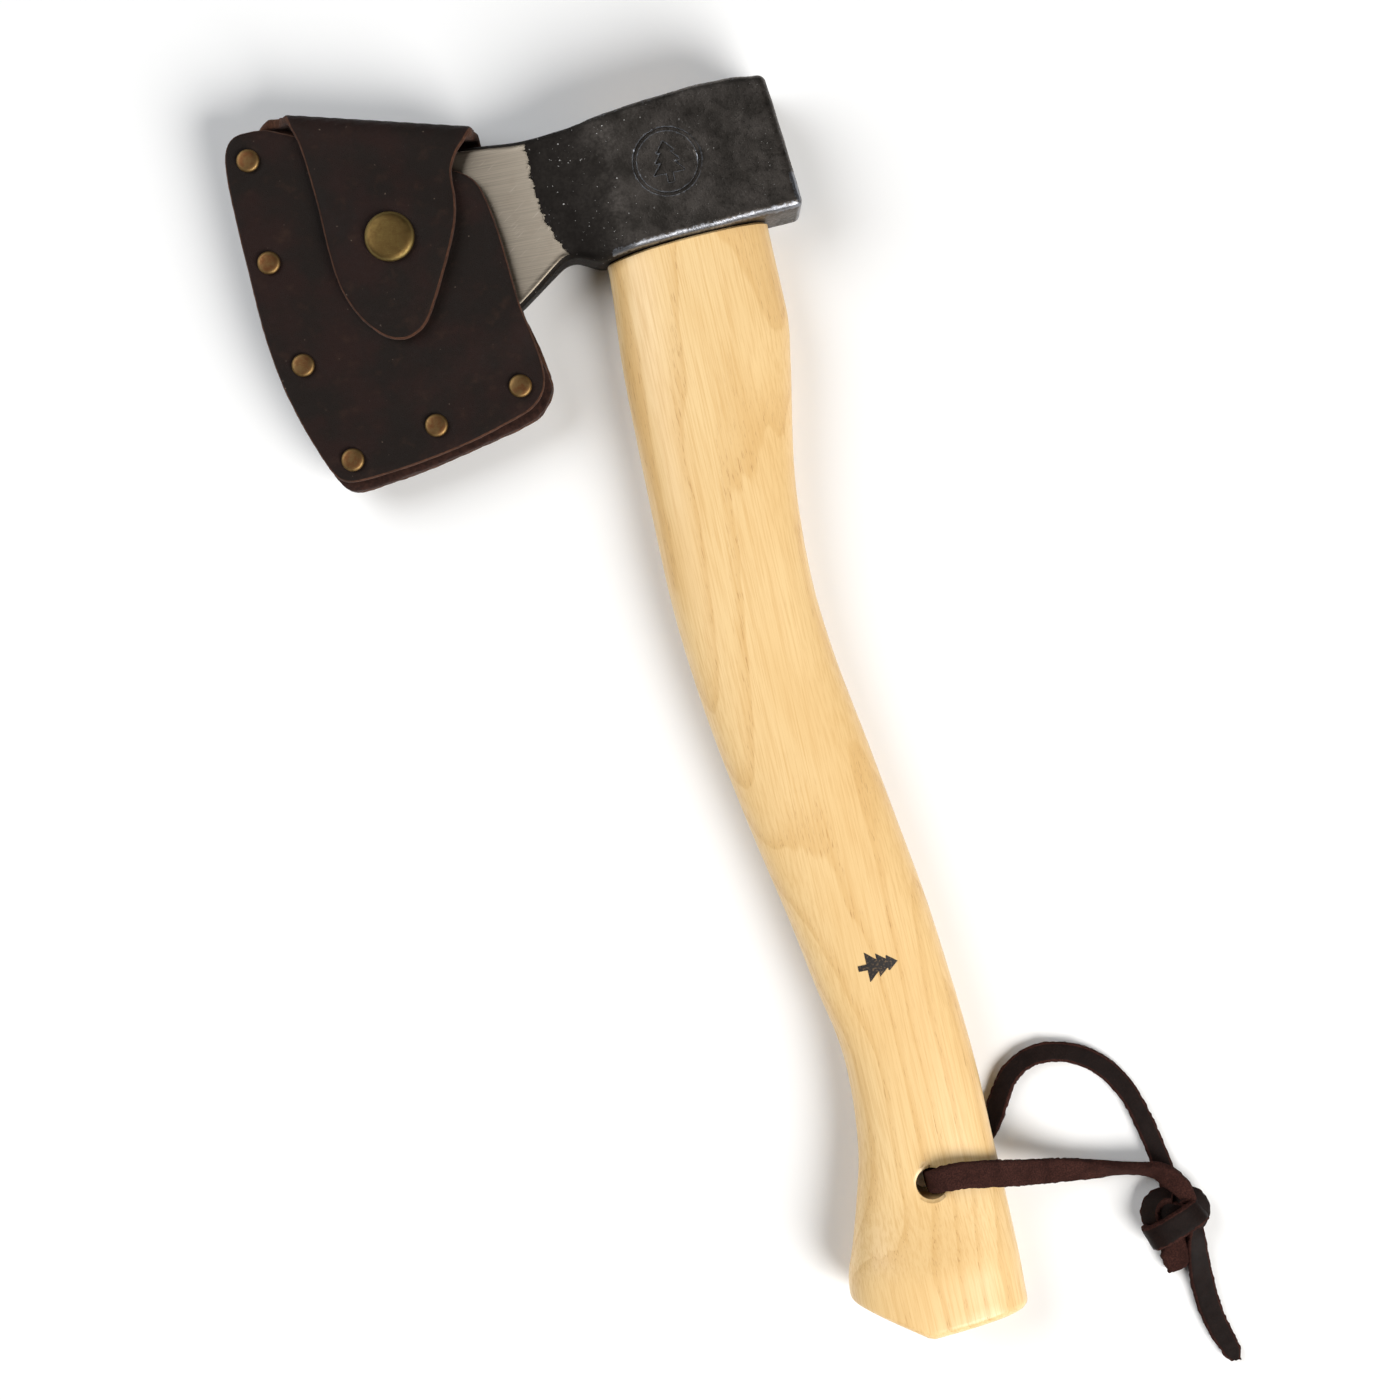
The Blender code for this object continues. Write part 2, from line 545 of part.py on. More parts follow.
def snap_seat_cutter():
    """The front panel's snap hole, with a shallow seat for the post's flange on the inner face."""
    profile = [(0, -8.0), (4.9, -8.0), (4.9, 1.1), (2.0, 1.1), (2.0, 8.0), (0, 8.0)]
    return hide_cutter(turned("snap_seat_cutter", profile, location=snap_place(0.0)))


def snap_place(height):
    """A point on the snap's axis, this high above the front panel's inner face."""
    return at(*SNAP, MID_Z + front_half(*SNAP) + height)


# ---------------------------------------------------------------- flap, snap and rivets

def axis_empty(name, half):
    """An empty on a fold axis, in the middle of the inner fold line."""
    middle = (Vector(inner_fold(FOLD_LEFT)) + Vector(inner_fold(FOLD_RIGHT))) / 2
    empty = bpy.data.objects.new(name, None)
    empty.location = at(*middle, MID_Z + half)
    bpy.context.scene.collection.objects.link(empty)
    return empty


def hold(child, parent, parent_place):
    """Parents a piece without moving it. The parent is only translated, to parent_place."""
    child.parent = parent
    child.matrix_parent_inverse = Matrix.Translation(-parent_place)


def build_fold(leather):
    """The strap that stands up behind the blade's top edge, between the two fold axes."""
    outer = [Vector(FOLD_LEFT), Vector(FOLD_RIGHT)]
    inner = [Vector(inner_fold(FOLD_RIGHT)), Vector(inner_fold(FOLD_LEFT))]
    low, high = MID_Z - FOLD_BACK_HALF + GAP, MID_Z + FOLD_FRONT_HALF - GAP
    fold = prism("flap_fold", outer + inner, low, high, leather)
    bevel = fold.modifiers.new("rounded", "BEVEL")
    bevel.width = 0.8 * MM
    bevel.segments = 2
    bevel.limit_method = "ANGLE"
    return fold


def build_flap(leather):
    left = Vector(inner_fold(FOLD_LEFT, GAP))
    right = Vector(inner_fold(FOLD_RIGHT, GAP))
    outline = [left, right] + curve_through(TONGUE_EDGE, 2)
    flap = leather_slab("flap", outline, tongue_half, 1, leather)
    profile = [(0, -8.0), (2.6, -8.0), (2.6, 20.0), (0, 20.0)]
    cut(flap, hide_cutter(turned("flap_hole_cutter", profile, location=snap_place(0.0))))
    return flap


def build_snap(brass, steel):
    """The cap and socket on the flap, and the stud and post on the front panel."""
    under_flap = LEATHER + SNAP_LIFT
    over_flap = under_flap + LEATHER + GAP
    cap = turned("snap_cap", [(0, under_flap + 0.6), (2.2, under_flap + 0.6), (2.2, over_flap),
                              (SNAP_CAP_R - 0.4, over_flap), (SNAP_CAP_R, over_flap + 0.5),
                              (SNAP_CAP_R - 0.8, over_flap + 1.2), (4.5, over_flap + 1.9),
                              (0, over_flap + 2.3)], brass, snap_place(0.0), sides=32)
    socket = turned("snap_socket", [(2.6, under_flap - 1.2), (5.2, under_flap - 1.2),
                                    (5.5, under_flap - GAP), (2.9, under_flap - GAP)],
                    steel, snap_place(0.0), sides=24)
    turned("snap_stud", [(0, LEATHER + 1.7), (1.7, LEATHER + 1.7), (1.7, LEATHER + GAP),
                         (5.5, LEATHER + GAP), (5.2, LEATHER + 0.9), (2.4, LEATHER + 0.9),
                         (2.1, LEATHER + 2.2), (1.7, LEATHER + 2.6), (0, LEATHER + 2.6)],
           steel, snap_place(0.0), sides=24)
    turned("snap_post", [(0, 0.1), (4.4, 0.1), (4.5, 0.8), (1.4, 0.8), (1.4, LEATHER + 1.3),
                         (0, LEATHER + 1.3)], steel, snap_place(0.0), sides=24)
    return cap, socket


def build_rivets(brass):
    """Six rivets: each has a domed cap with a post, and a domed base that the post ends in."""
    face = FLAT_HALF + LEATHER + GAP
    r, dome = RIVET_HEAD_R, RIVET_HEAD_HEIGHT
    tip = -face - 0.5
    cap_profile = [(0, tip), (RIVET_POST_R, tip), (RIVET_POST_R, face), (r - 0.2, face), (r, face + 0.4),
                   (r - 0.6, face + 0.65 * dome), (r * 0.45, face + 0.93 * dome), (0, face + dome)]
    pocket = tip - GAP
    base_profile = [(0, -face - dome), (r * 0.45, -face - 0.93 * dome), (r - 0.6, -face - 0.65 * dome),
                    (r, -face - 0.4), (r - 0.2, -face), (RIVET_HOLE_R, -face), (RIVET_HOLE_R, pocket),
                    (0, pocket)]
    for number, (x, y) in enumerate(RIVETS, start=1):
        place = at(x, y, MID_Z)
        turned(f"rivet_cap_{number}", cap_profile, brass, place, sides=16)
        turned(f"rivet_base_{number}", base_profile, brass, place, sides=16)


# ---------------------------------------------------------------- lanyard

def lace(name, route, material):
    """A stretch of the lace: a tube along a smooth curve through its route."""
    line = even_points(curve_through([at(*p) for p in route], 12), LACE_SPACING * MM)
    curve = bpy.data.curves.new(name, "CURVE")
    curve.dimensions = "3D"
    curve.bevel_depth = LACE_R * MM
    curve.bevel_resolution = 2
    curve.use_fill_caps = True
    spline = curve.splines.new("POLY")
    spline.points.add(len(line) - 1)
    for point, place in zip(spline.points, line):
        point.co = (*place, 1.0)
    curve.materials.append(material)
    obj = bpy.data.objects.new(name, curve)
    bpy.context.scene.collection.objects.link(obj)
    return obj


def build_lanyard(material):
    lace("lanyard_front_strand", FRONT_STRAND, material)
    lace("lanyard_back_strand", BACK_STRAND, material)
    lace("lanyard_long_tail", LONG_TAIL, material)
    lace("lanyard_short_tail", SHORT_TAIL, material)
    bm = bmesh.new()
    bmesh.ops.create_uvsphere(bm, u_segments=16, v_segments=10, radius=MM)
    bmesh.ops.scale(bm, vec=KNOT_HALF, verts=bm.verts)
    add_object("lanyard_knot", bm, material, at(*KNOT_CENTRE))


def main():
    for obj in list(bpy.data.objects):
        bpy.data.objects.remove(obj, do_unlink=True)
    steel = make_material("forged_steel", (58, 54, 54), 0.45, 0.9)
    bright = make_material("bright_steel", (170, 170, 168), 0.3, 1.0)
    ash = make_material("varnished_wood", (232, 195, 135), 0.35)
    wedge_wood = make_material("wedge_wood", (196, 150, 96), 0.6)
    leather = make_material("dark_leather", (44, 33, 30), 0.6)
    welt_leather = make_material("welt_leather", (88, 54, 44), 0.75)
    brass = make_material("antique_brass", (120, 94, 56), 0.38, 1.0)
    lace_leather = make_material("lace_leather", (52, 40, 37), 0.8)

    build_head(steel)
    build_handle(ash)
    build_wedges(wedge_wood, bright)
    build_sheath(leather, welt_leather)
    build_rivets(brass)

    fold_axis = axis_empty("fold_axis", -FOLD_BACK_HALF)
    flap_axis = axis_empty("flap_axis", FOLD_FRONT_HALF)
    fold_place, flap_place = fold_axis.location.copy(), flap_axis.location.copy()
    hold(flap_axis, fold_axis, fold_place)
    hold(build_fold(leather), fold_axis, fold_place)
    hold(build_flap(leather), flap_axis, flap_place)
    for piece in build_snap(brass, bright):
        hold(piece, flap_axis, flap_place)
    build_lanyard(lace_leather)


main()
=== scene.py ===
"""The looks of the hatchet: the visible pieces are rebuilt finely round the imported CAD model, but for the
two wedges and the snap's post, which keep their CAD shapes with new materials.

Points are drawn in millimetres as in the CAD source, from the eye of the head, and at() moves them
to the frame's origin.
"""

import math

import bmesh
import bpy
import numpy as np
from mathutils import Matrix, Vector, noise
from mathutils.geometry import delaunay_2d_cdt


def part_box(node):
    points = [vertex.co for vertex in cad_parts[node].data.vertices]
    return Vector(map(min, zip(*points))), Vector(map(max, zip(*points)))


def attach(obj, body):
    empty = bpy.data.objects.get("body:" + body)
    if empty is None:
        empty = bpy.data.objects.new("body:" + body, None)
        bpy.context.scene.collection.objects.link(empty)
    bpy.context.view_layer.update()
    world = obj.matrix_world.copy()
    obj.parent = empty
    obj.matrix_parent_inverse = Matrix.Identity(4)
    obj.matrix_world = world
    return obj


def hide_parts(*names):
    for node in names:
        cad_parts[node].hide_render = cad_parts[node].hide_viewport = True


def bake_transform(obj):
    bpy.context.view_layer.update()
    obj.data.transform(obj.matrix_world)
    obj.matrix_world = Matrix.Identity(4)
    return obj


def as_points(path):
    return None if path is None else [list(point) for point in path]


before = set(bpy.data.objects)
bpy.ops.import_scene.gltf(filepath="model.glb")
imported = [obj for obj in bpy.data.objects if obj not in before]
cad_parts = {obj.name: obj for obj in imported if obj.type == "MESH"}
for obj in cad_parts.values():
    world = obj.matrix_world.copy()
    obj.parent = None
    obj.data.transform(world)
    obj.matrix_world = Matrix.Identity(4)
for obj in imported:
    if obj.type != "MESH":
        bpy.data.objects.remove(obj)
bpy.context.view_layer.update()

MM = 0.001
GAP = 0.3
HEAD_MIDDLE_Y = 20.0
MID_Z = 14.0


# ---------------------------------------------------------------- maths

def at(x, y, z=0.0):
    """A drawn point, in metres in the frame."""
    return Vector((x, y - HEAD_MIDDLE_Y, z)) * MM


def drawn(point):
    """A frame point, back in the drawing's millimetres."""
    return Vector((point[0] / MM, point[1] / MM + HEAD_MIDDLE_Y, point[2] / MM))


def box_middle(node):
    low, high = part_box(node)
    return (Vector(low) + Vector(high)) / 2


def lerp(a, b, t):
    return a + (b - a) * t


def ease(t):
    t = min(max(t, 0.0), 1.0)
    return t * t * (3.0 - 2.0 * t)


def read_curve(table, x, smooth=True):
    """The value at x on a curve through (position, value) pairs, in rising order of position."""
    if x <= table[0][0]:
        return table[0][1]
    if x >= table[-1][0]:
        return table[-1][1]
    k = max(i for i in range(len(table) - 1) if table[i][0] <= x)
    (x0, y0), (x1, y1) = table[k], table[k + 1]
    t = (x - x0) / (x1 - x0)
    if not smooth:
        return lerp(y0, y1, t)

    def rise(i):
        low, high = table[max(i - 1, 0)], table[min(i + 1, len(table) - 1)]
        turns_back = (table[i][1] - low[1]) * (high[1] - table[i][1]) <= 0
        return 0.0 if turns_back else (high[1] - low[1]) / (high[0] - low[0]) * (x1 - x0)

    return lerp(y0, y1, ease(t)) + rise(k) * t * (1 - t) ** 2 - rise(k + 1) * t * t * (1 - t)


def curve_through(points, steps, closed=False):
    """Points along a Catmull-Rom curve, with this many steps between each two given points."""
    points = [Vector(p) for p in points]
    count = len(points)
    spans = count if closed else count - 1

    def pick(i):
        return points[i % count] if closed else points[min(max(i, 0), count - 1)]

    line = []
    for i in range(spans):
        p0, p1, p2, p3 = (pick(i + k) for k in (-1, 0, 1, 2))
        for step in range(steps):
            t = step / steps
            line.append(0.5 * (2 * p1 + (p2 - p0) * t + (2 * p0 - 5 * p1 + 4 * p2 - p3) * t ** 2
                               + (3 * p1 - p0 - 3 * p2 + p3) * t ** 3))
    return line if closed else line + [points[-1]]


def even_points(line, spacing, closed=False):
    """Evenly spaced points along a line. An open line keeps both its ends."""
    line = list(line) + ([line[0]] if closed else [])
    lengths = [0.0]
    for a, b in zip(line, line[1:]):
        lengths.append(lengths[-1] + (b - a).length)
    count = max(2, round(lengths[-1] / spacing))
    result = []
    k = 0
    for i in range(count + (0 if closed else 1)):
        goal = lengths[-1] * i / count
        while k < len(lengths) - 2 and lengths[k + 1] < goal:
            k += 1
        t = (goal - lengths[k]) / max(lengths[k + 1] - lengths[k], 1e-9)
        result.append(line[k].lerp(line[k + 1], min(t, 1.0)))
    return result


def rough(point, scale, seed=0.0):
    """Smooth noise from -1 to 1, with features of about this size in millimetres."""
    return noise.noise(Vector((point[0], point[1], point[2] if len(point) > 2 else 0.0)) / scale
                       + Vector((seed, seed * 0.7, -seed)))


def inside_outline(points, outline):
    """Which points lie inside a closed outline, as a numpy mask."""
    points, ring = np.asarray(points, float), np.asarray([tuple(p) for p in outline], float)
    inside = np.zeros(len(points), bool)
    for a, b in zip(ring, np.roll(ring, -1, axis=0)):
        crosses = (a[1] > points[:, 1]) != (b[1] > points[:, 1])
        slope = np.divide(b[0] - a[0], b[1] - a[1], out=np.zeros(1), where=np.array([b[1] != a[1]]))[0]
        inside ^= crosses & (points[:, 0] < a[0] + slope * (points[:, 1] - a[1]))
    return inside


def distance_to(points, outline):
    """Each point's distance to the corners of an outline."""
    points, ring = np.asarray(points, float), np.asarray([tuple(p) for p in outline], float)
    apart = points[:, None, :2] - ring[None, :, :2]
    return np.min(np.hypot(apart[..., 0], apart[..., 1]), axis=1)


# ---------------------------------------------------------------- materials

def linear(red, green, blue):
    """A screen colour as linear light, from channels above 10 and up to 255."""
    return tuple(((c / 255 + 0.055) / 1.055) ** 2.4 for c in (red, green, blue))


class Nodes:
    """A material's node tree, built in millimetres of object space."""

    def __init__(self, name, **sockets):
        self.material = bpy.data.materials.new(name)
        self.material.use_nodes = True
        self.tree = self.material.node_tree
        self.shader = self.tree.nodes["Principled BSDF"]
        for socket, value in sockets.items():
            self.shader.inputs[socket.replace("_", " ")].default_value = value
        coordinates = self.tree.nodes.new("ShaderNodeTexCoord")
        self.place = self.scaled(coordinates.outputs["Object"], (1 / MM, 1 / MM, 1 / MM))

    def link(self, value, socket):
        if isinstance(value, bpy.types.NodeSocket):
            self.tree.links.new(value, socket)
        elif isinstance(value, (tuple, list)) and len(value) == 3 and socket.type == "RGBA":
            socket.default_value = (*value, 1.0)
        else:
            socket.default_value = value

    def scaled(self, vector, factors):
        node = self.tree.nodes.new("ShaderNodeVectorMath")
        node.operation = "MULTIPLY"
        self.link(vector, node.inputs[0])
        self.link(factors, node.inputs[1])
        return node.outputs["Vector"]

    def math(self, operation, a, b=0.0, c=0.0):
        node = self.tree.nodes.new("ShaderNodeMath")
        node.operation = operation
        for value, socket in zip((a, b, c), node.inputs):
            self.link(value, socket)
        return node.outputs[0]

    def axes(self):
        node = self.tree.nodes.new("ShaderNodeSeparateXYZ")
        self.link(self.place, node.inputs[0])
        return node.outputs

    def stretch(self, x, y, z, vector=None):
        """The place, divided by a feature size in millimetres along each axis."""
        return self.scaled(vector or self.place, (1 / x, 1 / y, 1 / z))

    def turned_place(self, degrees):
        """The place, turned about Z."""
        node = self.tree.nodes.new("ShaderNodeVectorRotate")
        node.rotation_type = "Z_AXIS"
        node.inputs["Angle"].default_value = math.radians(degrees)
        self.link(self.place, node.inputs["Vector"])
        return node.outputs[0]

    def noise(self, size, detail=4.0, rough=0.55, vector=None):
        """Noise with features of this size in millimetres: one number, or one for each axis."""
        x, y, z = size if isinstance(size, tuple) else (size, size, size)
        node = self.tree.nodes.new("ShaderNodeTexNoise")
        self.link(self.stretch(x, y, z, vector), node.inputs["Vector"])
        node.inputs["Scale"].default_value = 1.0
        node.inputs["Detail"].default_value = detail
        node.inputs["Roughness"].default_value = rough
        return node.outputs[0]

    def cell_edges(self, size):
        """How far a point is from the edges between scattered cells of this size in millimetres."""
        node = self.tree.nodes.new("ShaderNodeTexVoronoi")
        node.feature = "DISTANCE_TO_EDGE"
        self.link(self.stretch(size, size, size), node.inputs["Vector"])
        node.inputs["Scale"].default_value = 1.0
        return node.outputs["Distance"]

    def range(self, value, low, high, to_low=0.0, to_high=1.0):
        node = self.tree.nodes.new("ShaderNodeMapRange")
        node.interpolation_type = "SMOOTHSTEP"
        for socket, number in zip(("Value", "From Min", "From Max", "To Min", "To Max"),
                                  (value, low, high, to_low, to_high)):
            self.link(number, node.inputs[socket])
        return node.outputs[0]

    def mix(self, factor, a, b):
        node = self.tree.nodes.new("ShaderNodeMix")
        node.data_type = "RGBA"
        self.link(factor, node.inputs[0])
        self.link(a, node.inputs[6])
        self.link(b, node.inputs[7])
        return node.outputs[2]

    def attribute(self, name):
        node = self.tree.nodes.new("ShaderNodeAttribute")
        node.attribute_name = name
        return node.outputs["Fac"]

    def bump(self, *layers):
        """Stacks (height, millimetres) layers of bump into the shader's normal."""
        normal = None
        for height, distance in layers:
            node = self.tree.nodes.new("ShaderNodeBump")
            node.inputs["Strength"].default_value = 1.0
            node.inputs["Distance"].default_value = distance * MM
            self.link(height, node.inputs["Height"])
            if normal is not None:
                self.link(normal, node.inputs["Normal"])
            normal = node.outputs[0]
        self.link(normal, self.shader.inputs["Normal"])

    def set(self, **sockets):
        for socket, value in sockets.items():
            self.link(value, self.shader.inputs[socket.replace("_", " ")])
        return self.material


BIT_BORDER_X = -42.0         # where the ground bit ends and the forging scale begins
BIT_BORDER_BEND_Y = 24.0     # below here the border bends towards +X, by this much per square millimetre
BIT_BORDER_BEND = 0.0135
PEBBLE_SIZE = 0.567246       # millimetres across one pebble of the leather's grain


def head_material():
    """Oiled forging scale, worn bright on the edges, with a ground and brushed bit. Along the lower edge the
    wear is stronger as a painted highlight, round the stamp's lines it is a painted highlight, and towards
    the bit the scale is darkened as painted shade.
    """
    n = Nodes("head_steel", Metallic=1.0)
    x, y = n.axes()[:2]
    patches = n.noise(9, 5.0, 0.6)
    fine = n.noise(1.1, 6.0, 0.62)
    specks = n.noise(0.8, 2.0, 0.5)
    scale_tone = n.mix(n.range(patches, 0.3, 0.7), linear(62, 58, 54), linear(100, 94, 89))
    # Painted shade: the scale darkens from the eye towards the bit, against the fill light's reflection on
    # the sloping cheek.
    painted_slope_shade = n.range(x, 0.0, -34.0)
    scale_tone = n.mix(n.math("MULTIPLY", painted_slope_shade, 0.85), scale_tone, linear(31, 28, 26))
    scale_tone = n.mix(n.range(fine, 0.35, 0.7, 0.0, 0.35), scale_tone, linear(34, 31, 30))
    scale_tone = n.mix(n.range(specks, 0.71, 0.76), scale_tone, linear(190, 188, 184))

    brush_place = n.turned_place(4.0)
    brush = n.noise((22, 0.17, 6.0), 2.0, 0.5, brush_place)
    cross = n.noise((7.0, 0.4, 6.0), 2.0, 0.5, n.turned_place(-32.0))
    steel_tone = n.mix(n.range(brush, 0.3, 0.72), linear(123, 114, 102), linear(146, 136, 122))
    steel_tone = n.mix(n.range(cross, 0.64, 0.78, 0.0, 0.45), steel_tone, linear(188, 180, 168))
    steel_tone = n.mix(n.range(patches, 0.52, 0.75, 0.0, 0.3), steel_tone, linear(110, 96, 82))

    scallop = n.noise((2.6, 1.7, 8), 3.0, 0.6)
    below = n.math("MAXIMUM", n.math("SUBTRACT", BIT_BORDER_BEND_Y - HEAD_MIDDLE_Y, y), 0.0)
    border = n.math("MULTIPLY_ADD", n.math("MULTIPLY", below, below), BIT_BORDER_BEND, BIT_BORDER_X)
    border = n.math("MULTIPLY_ADD", scallop, 4.0, n.math("SUBTRACT", border, 2.0))
    bit = n.range(n.math("SUBTRACT", border, x), -0.15, 0.15)
    bit = n.math("MULTIPLY", bit, n.range(n.attribute("ground"), 0.4, 0.6))
    # wear holds real edge wear, with painted highlight along the lower edge and round the stamp's lines.
    wear = n.attribute("wear")
    worn_and_highlit = n.range(n.math("MULTIPLY_ADD", fine, 1.1, wear), 1.08, 1.42)
    worn_and_highlit = n.math("MULTIPLY", worn_and_highlit, n.range(wear, 0.15, 0.5))
    tone = n.mix(bit, scale_tone, steel_tone)
    tone = n.mix(n.math("MULTIPLY", worn_and_highlit, 0.8), tone, linear(150, 153, 160))
    roughness = n.range(fine, 0.25, 0.75, 0.34, 0.58)
    # The same painted-shade ramp also makes that scale rougher.
    roughness = n.mix(n.math("MULTIPLY", painted_slope_shade, 0.7), roughness, (0.78, 0.78, 0.78))
    roughness = n.mix(bit, roughness, n.range(brush, 0.3, 0.7, 0.38, 0.50))
    roughness = n.mix(worn_and_highlit, roughness, (0.34, 0.34, 0.34))
    rim = n.range(n.math("ABSOLUTE", n.math("SUBTRACT", border, x)), 0.0, 0.9)
    heights = n.mix(bit, n.math("MULTIPLY_ADD", patches, 0.6, fine), n.math("MULTIPLY", brush, 0.05))
    n.bump((n.math("SUBTRACT", 1.0, bit), 0.30), (heights, 0.10),
           (n.math("MULTIPLY", rim, 0.3), 0.1))
    return n.set(Base_Color=tone, Roughness=roughness)


def wood_material(name, pale, dark, pore, gloss):
    """Straight-grained ring-porous wood: growth rings about a far pith, pores, rays and varnish."""
    n = Nodes(name, Coat_Weight=gloss, Coat_Roughness=0.24, Coat_IOR=1.5, Specular_IOR_Level=0.35)
    x, y, z = n.axes()
    drift = n.noise((30, 130, 30), 2.0, 0.5)
    waver = n.noise((7, 60, 7), 3.0, 0.5)
    across = n.math("MULTIPLY_ADD", y, -0.02, n.math("SUBTRACT", x, 2.0))
    deep = n.math("MULTIPLY_ADD", y, 0.03, n.math("ADD", z, 8.0))
    radius = n.math("SQRT", n.math("ADD", n.math("MULTIPLY", across, across), n.math("MULTIPLY", deep, deep)))
    radius = n.math("ADD", radius, n.math("MULTIPLY", n.math("SUBTRACT", drift, 0.5), 7.0))
    radius = n.math("ADD", radius, n.math("MULTIPLY", n.math("SUBTRACT", waver, 0.5), 1.6))
    ring = n.math("FRACT", n.math("MULTIPLY", radius, 0.30))
    early = n.range(ring, 0.0, 0.42, 1.0, 0.0)
    early = n.math("MULTIPLY", early, n.range(ring, 0.0, 0.05))
    fibre = n.noise((0.5, 26, 0.5), 4.0, 0.6)
    pores = n.noise((0.26, 5.0, 0.26), 2.0, 0.5)
    pore_mask = n.math("MULTIPLY", n.range(pores, 0.60, 0.70), n.math("MULTIPLY_ADD", early, 0.75, 0.12))
    cloud = n.noise((26, 70, 26), 2.0, 0.5)
    tone = n.mix(n.range(cloud, 0.3, 0.7), pale, tuple(c * f for c, f in zip(pale, (0.93, 0.88, 0.80))))
    tone = n.mix(n.math("MULTIPLY", early, 0.46), tone, dark)
    tone = n.mix(n.range(fibre, 0.38, 0.72, 0.0, 0.6), tone, dark)
    tone = n.mix(n.math("MULTIPLY", pore_mask, 0.95), tone, pore)
    n.bump((n.math("MULTIPLY", pore_mask, -1.0), 0.05), (fibre, 0.025))
    return n.set(Base_Color=tone, Roughness=n.range(fibre, 0.3, 0.7, 0.34, 0.5))


def leather_material(name, base, warm, scuff):
    """Oiled leather: pebbled grain, hue mottling, and pale scuffs and scratches."""
    n = Nodes(name, Specular_IOR_Level=0.10)
    patches = n.noise(17, 4.0, 0.55)
    mottle = n.noise(5, 5.0, 0.6)
    grain = n.cell_edges(PEBBLE_SIZE)
    fine = n.noise(0.4, 4.0, 0.6)
    scrape = n.noise((9, 0.5, 3), 4.0, 0.6, n.turned_place(38.0))
    tone = n.mix(n.range(patches, 0.38, 0.64), base, warm)
    tone = n.mix(n.range(mottle, 0.52, 0.78, 0.0, 0.55), tone, scuff)
    tone = n.mix(n.range(scrape, 0.68, 0.80, 0.0, 0.5), tone, scuff)
    dots = n.noise(1.3, 1.0, 0.5)
    tone = n.mix(n.range(dots, 0.77, 0.82, 0.0, 0.6), tone, linear(118, 104, 92))
    n.bump((n.range(grain, 0.0, 0.22), 0.05), (fine, 0.06), (mottle, 0.25))
    return n.set(Base_Color=tone, Roughness=n.range(mottle, 0.3, 0.7, 0.50, 0.66))


def raw_leather_material(name, base, light):
    """A cut edge or flesh side: matt, fibrous and redder."""
    n = Nodes(name, Specular_IOR_Level=0.15, Roughness=0.9, Sheen_Weight=0.06, Sheen_Roughness=0.5)
    strands = n.noise((1.6, 1.6, 0.35), 5.0, 0.7)
    patches = n.noise((6, 6, 3), 3.0, 0.6)
    tone = n.mix(n.range(strands, 0.3, 0.7), base, light)
    tone = n.mix(n.range(patches, 0.45, 0.75, 0.0, 0.6), tone, tuple(c * 0.45 for c in base))
    n.bump((strands, 0.22), (n.noise(0.3, 3.0), 0.08))
    return n.set(Base_Color=tone)


def brass_material(name, base, bright, patina):
    """Antique brass: a brown patina, rubbed brighter round the rim and in fine scratches."""
    n = Nodes(name, Metallic=1.0)
    patches = n.noise(2.2, 4.0, 0.6)
    spots = n.noise(0.7, 4.0, 0.65)
    scratch = n.noise((4.0, 0.10, 1.0), 3.0, 0.6, n.turned_place(24.0))
    wear = n.attribute("wear")
    tone = n.mix(n.range(patches, 0.35, 0.65), base, patina)
    tone = n.mix(n.range(spots, 0.58, 0.75, 0.0, 0.35), tone, linear(84, 74, 42))
    tone = n.mix(n.range(scratch, 0.62, 0.76, 0.0, 0.6), tone, bright)
    tone = n.mix(n.math("MULTIPLY", n.range(wear, 0.2, 0.9), 0.7), tone, bright)
    n.bump((spots, 0.02), (scratch, 0.012))
    return n.set(Base_Color=tone, Roughness=n.range(spots, 0.3, 0.7, 0.46, 0.60))


def plain_steel_material(name, tone_rgb, roughness):
    """Turned nickel steel with fine tool marks."""
    n = Nodes(name, Metallic=1.0)
    marks = n.noise((0.3, 3, 0.3), 4.0, 0.6)
    stain = n.noise(3, 4.0, 0.6)
    tone = n.mix(n.range(stain, 0.4, 0.75, 0.0, 0.6), tone_rgb, tuple(c * 0.4 for c in tone_rgb))
    n.bump((marks, 0.03))
    return n.set(Base_Color=tone, Roughness=n.range(marks, 0.3, 0.7, roughness, roughness + 0.15))


def lace_material(name, base, light, matt):
    """The lace: its smooth side is waxy, and the rough side is matt and napped."""
    specular, nap_depth = (0.05, 0.22) if matt else (0.08, 0.07)
    least_rough, most_rough = (0.8, 0.95) if matt else (0.45, 0.62)
    n = Nodes(name, Specular_IOR_Level=specular)
    nap = n.noise(0.5, 5.0, 0.68)
    patches = n.noise(6, 3.0, 0.6)
    tone = n.mix(n.range(nap, 0.35, 0.7), base, light)
    tone = n.mix(n.range(patches, 0.4, 0.7, 0.0, 0.5), tone, tuple(c * 0.55 for c in base))
    n.bump((nap, nap_depth))
    return n.set(Base_Color=tone, Roughness=n.range(nap, 0.3, 0.7, least_rough, most_rough))


def floor_material():
    n = Nodes("pale_floor", Roughness=0.9, Specular_IOR_Level=0.0)
    speckle = n.noise(220, 2.0)
    return n.set(Base_Color=n.mix(speckle, (0.93, 0.93, 0.93), (0.95, 0.95, 0.95)))


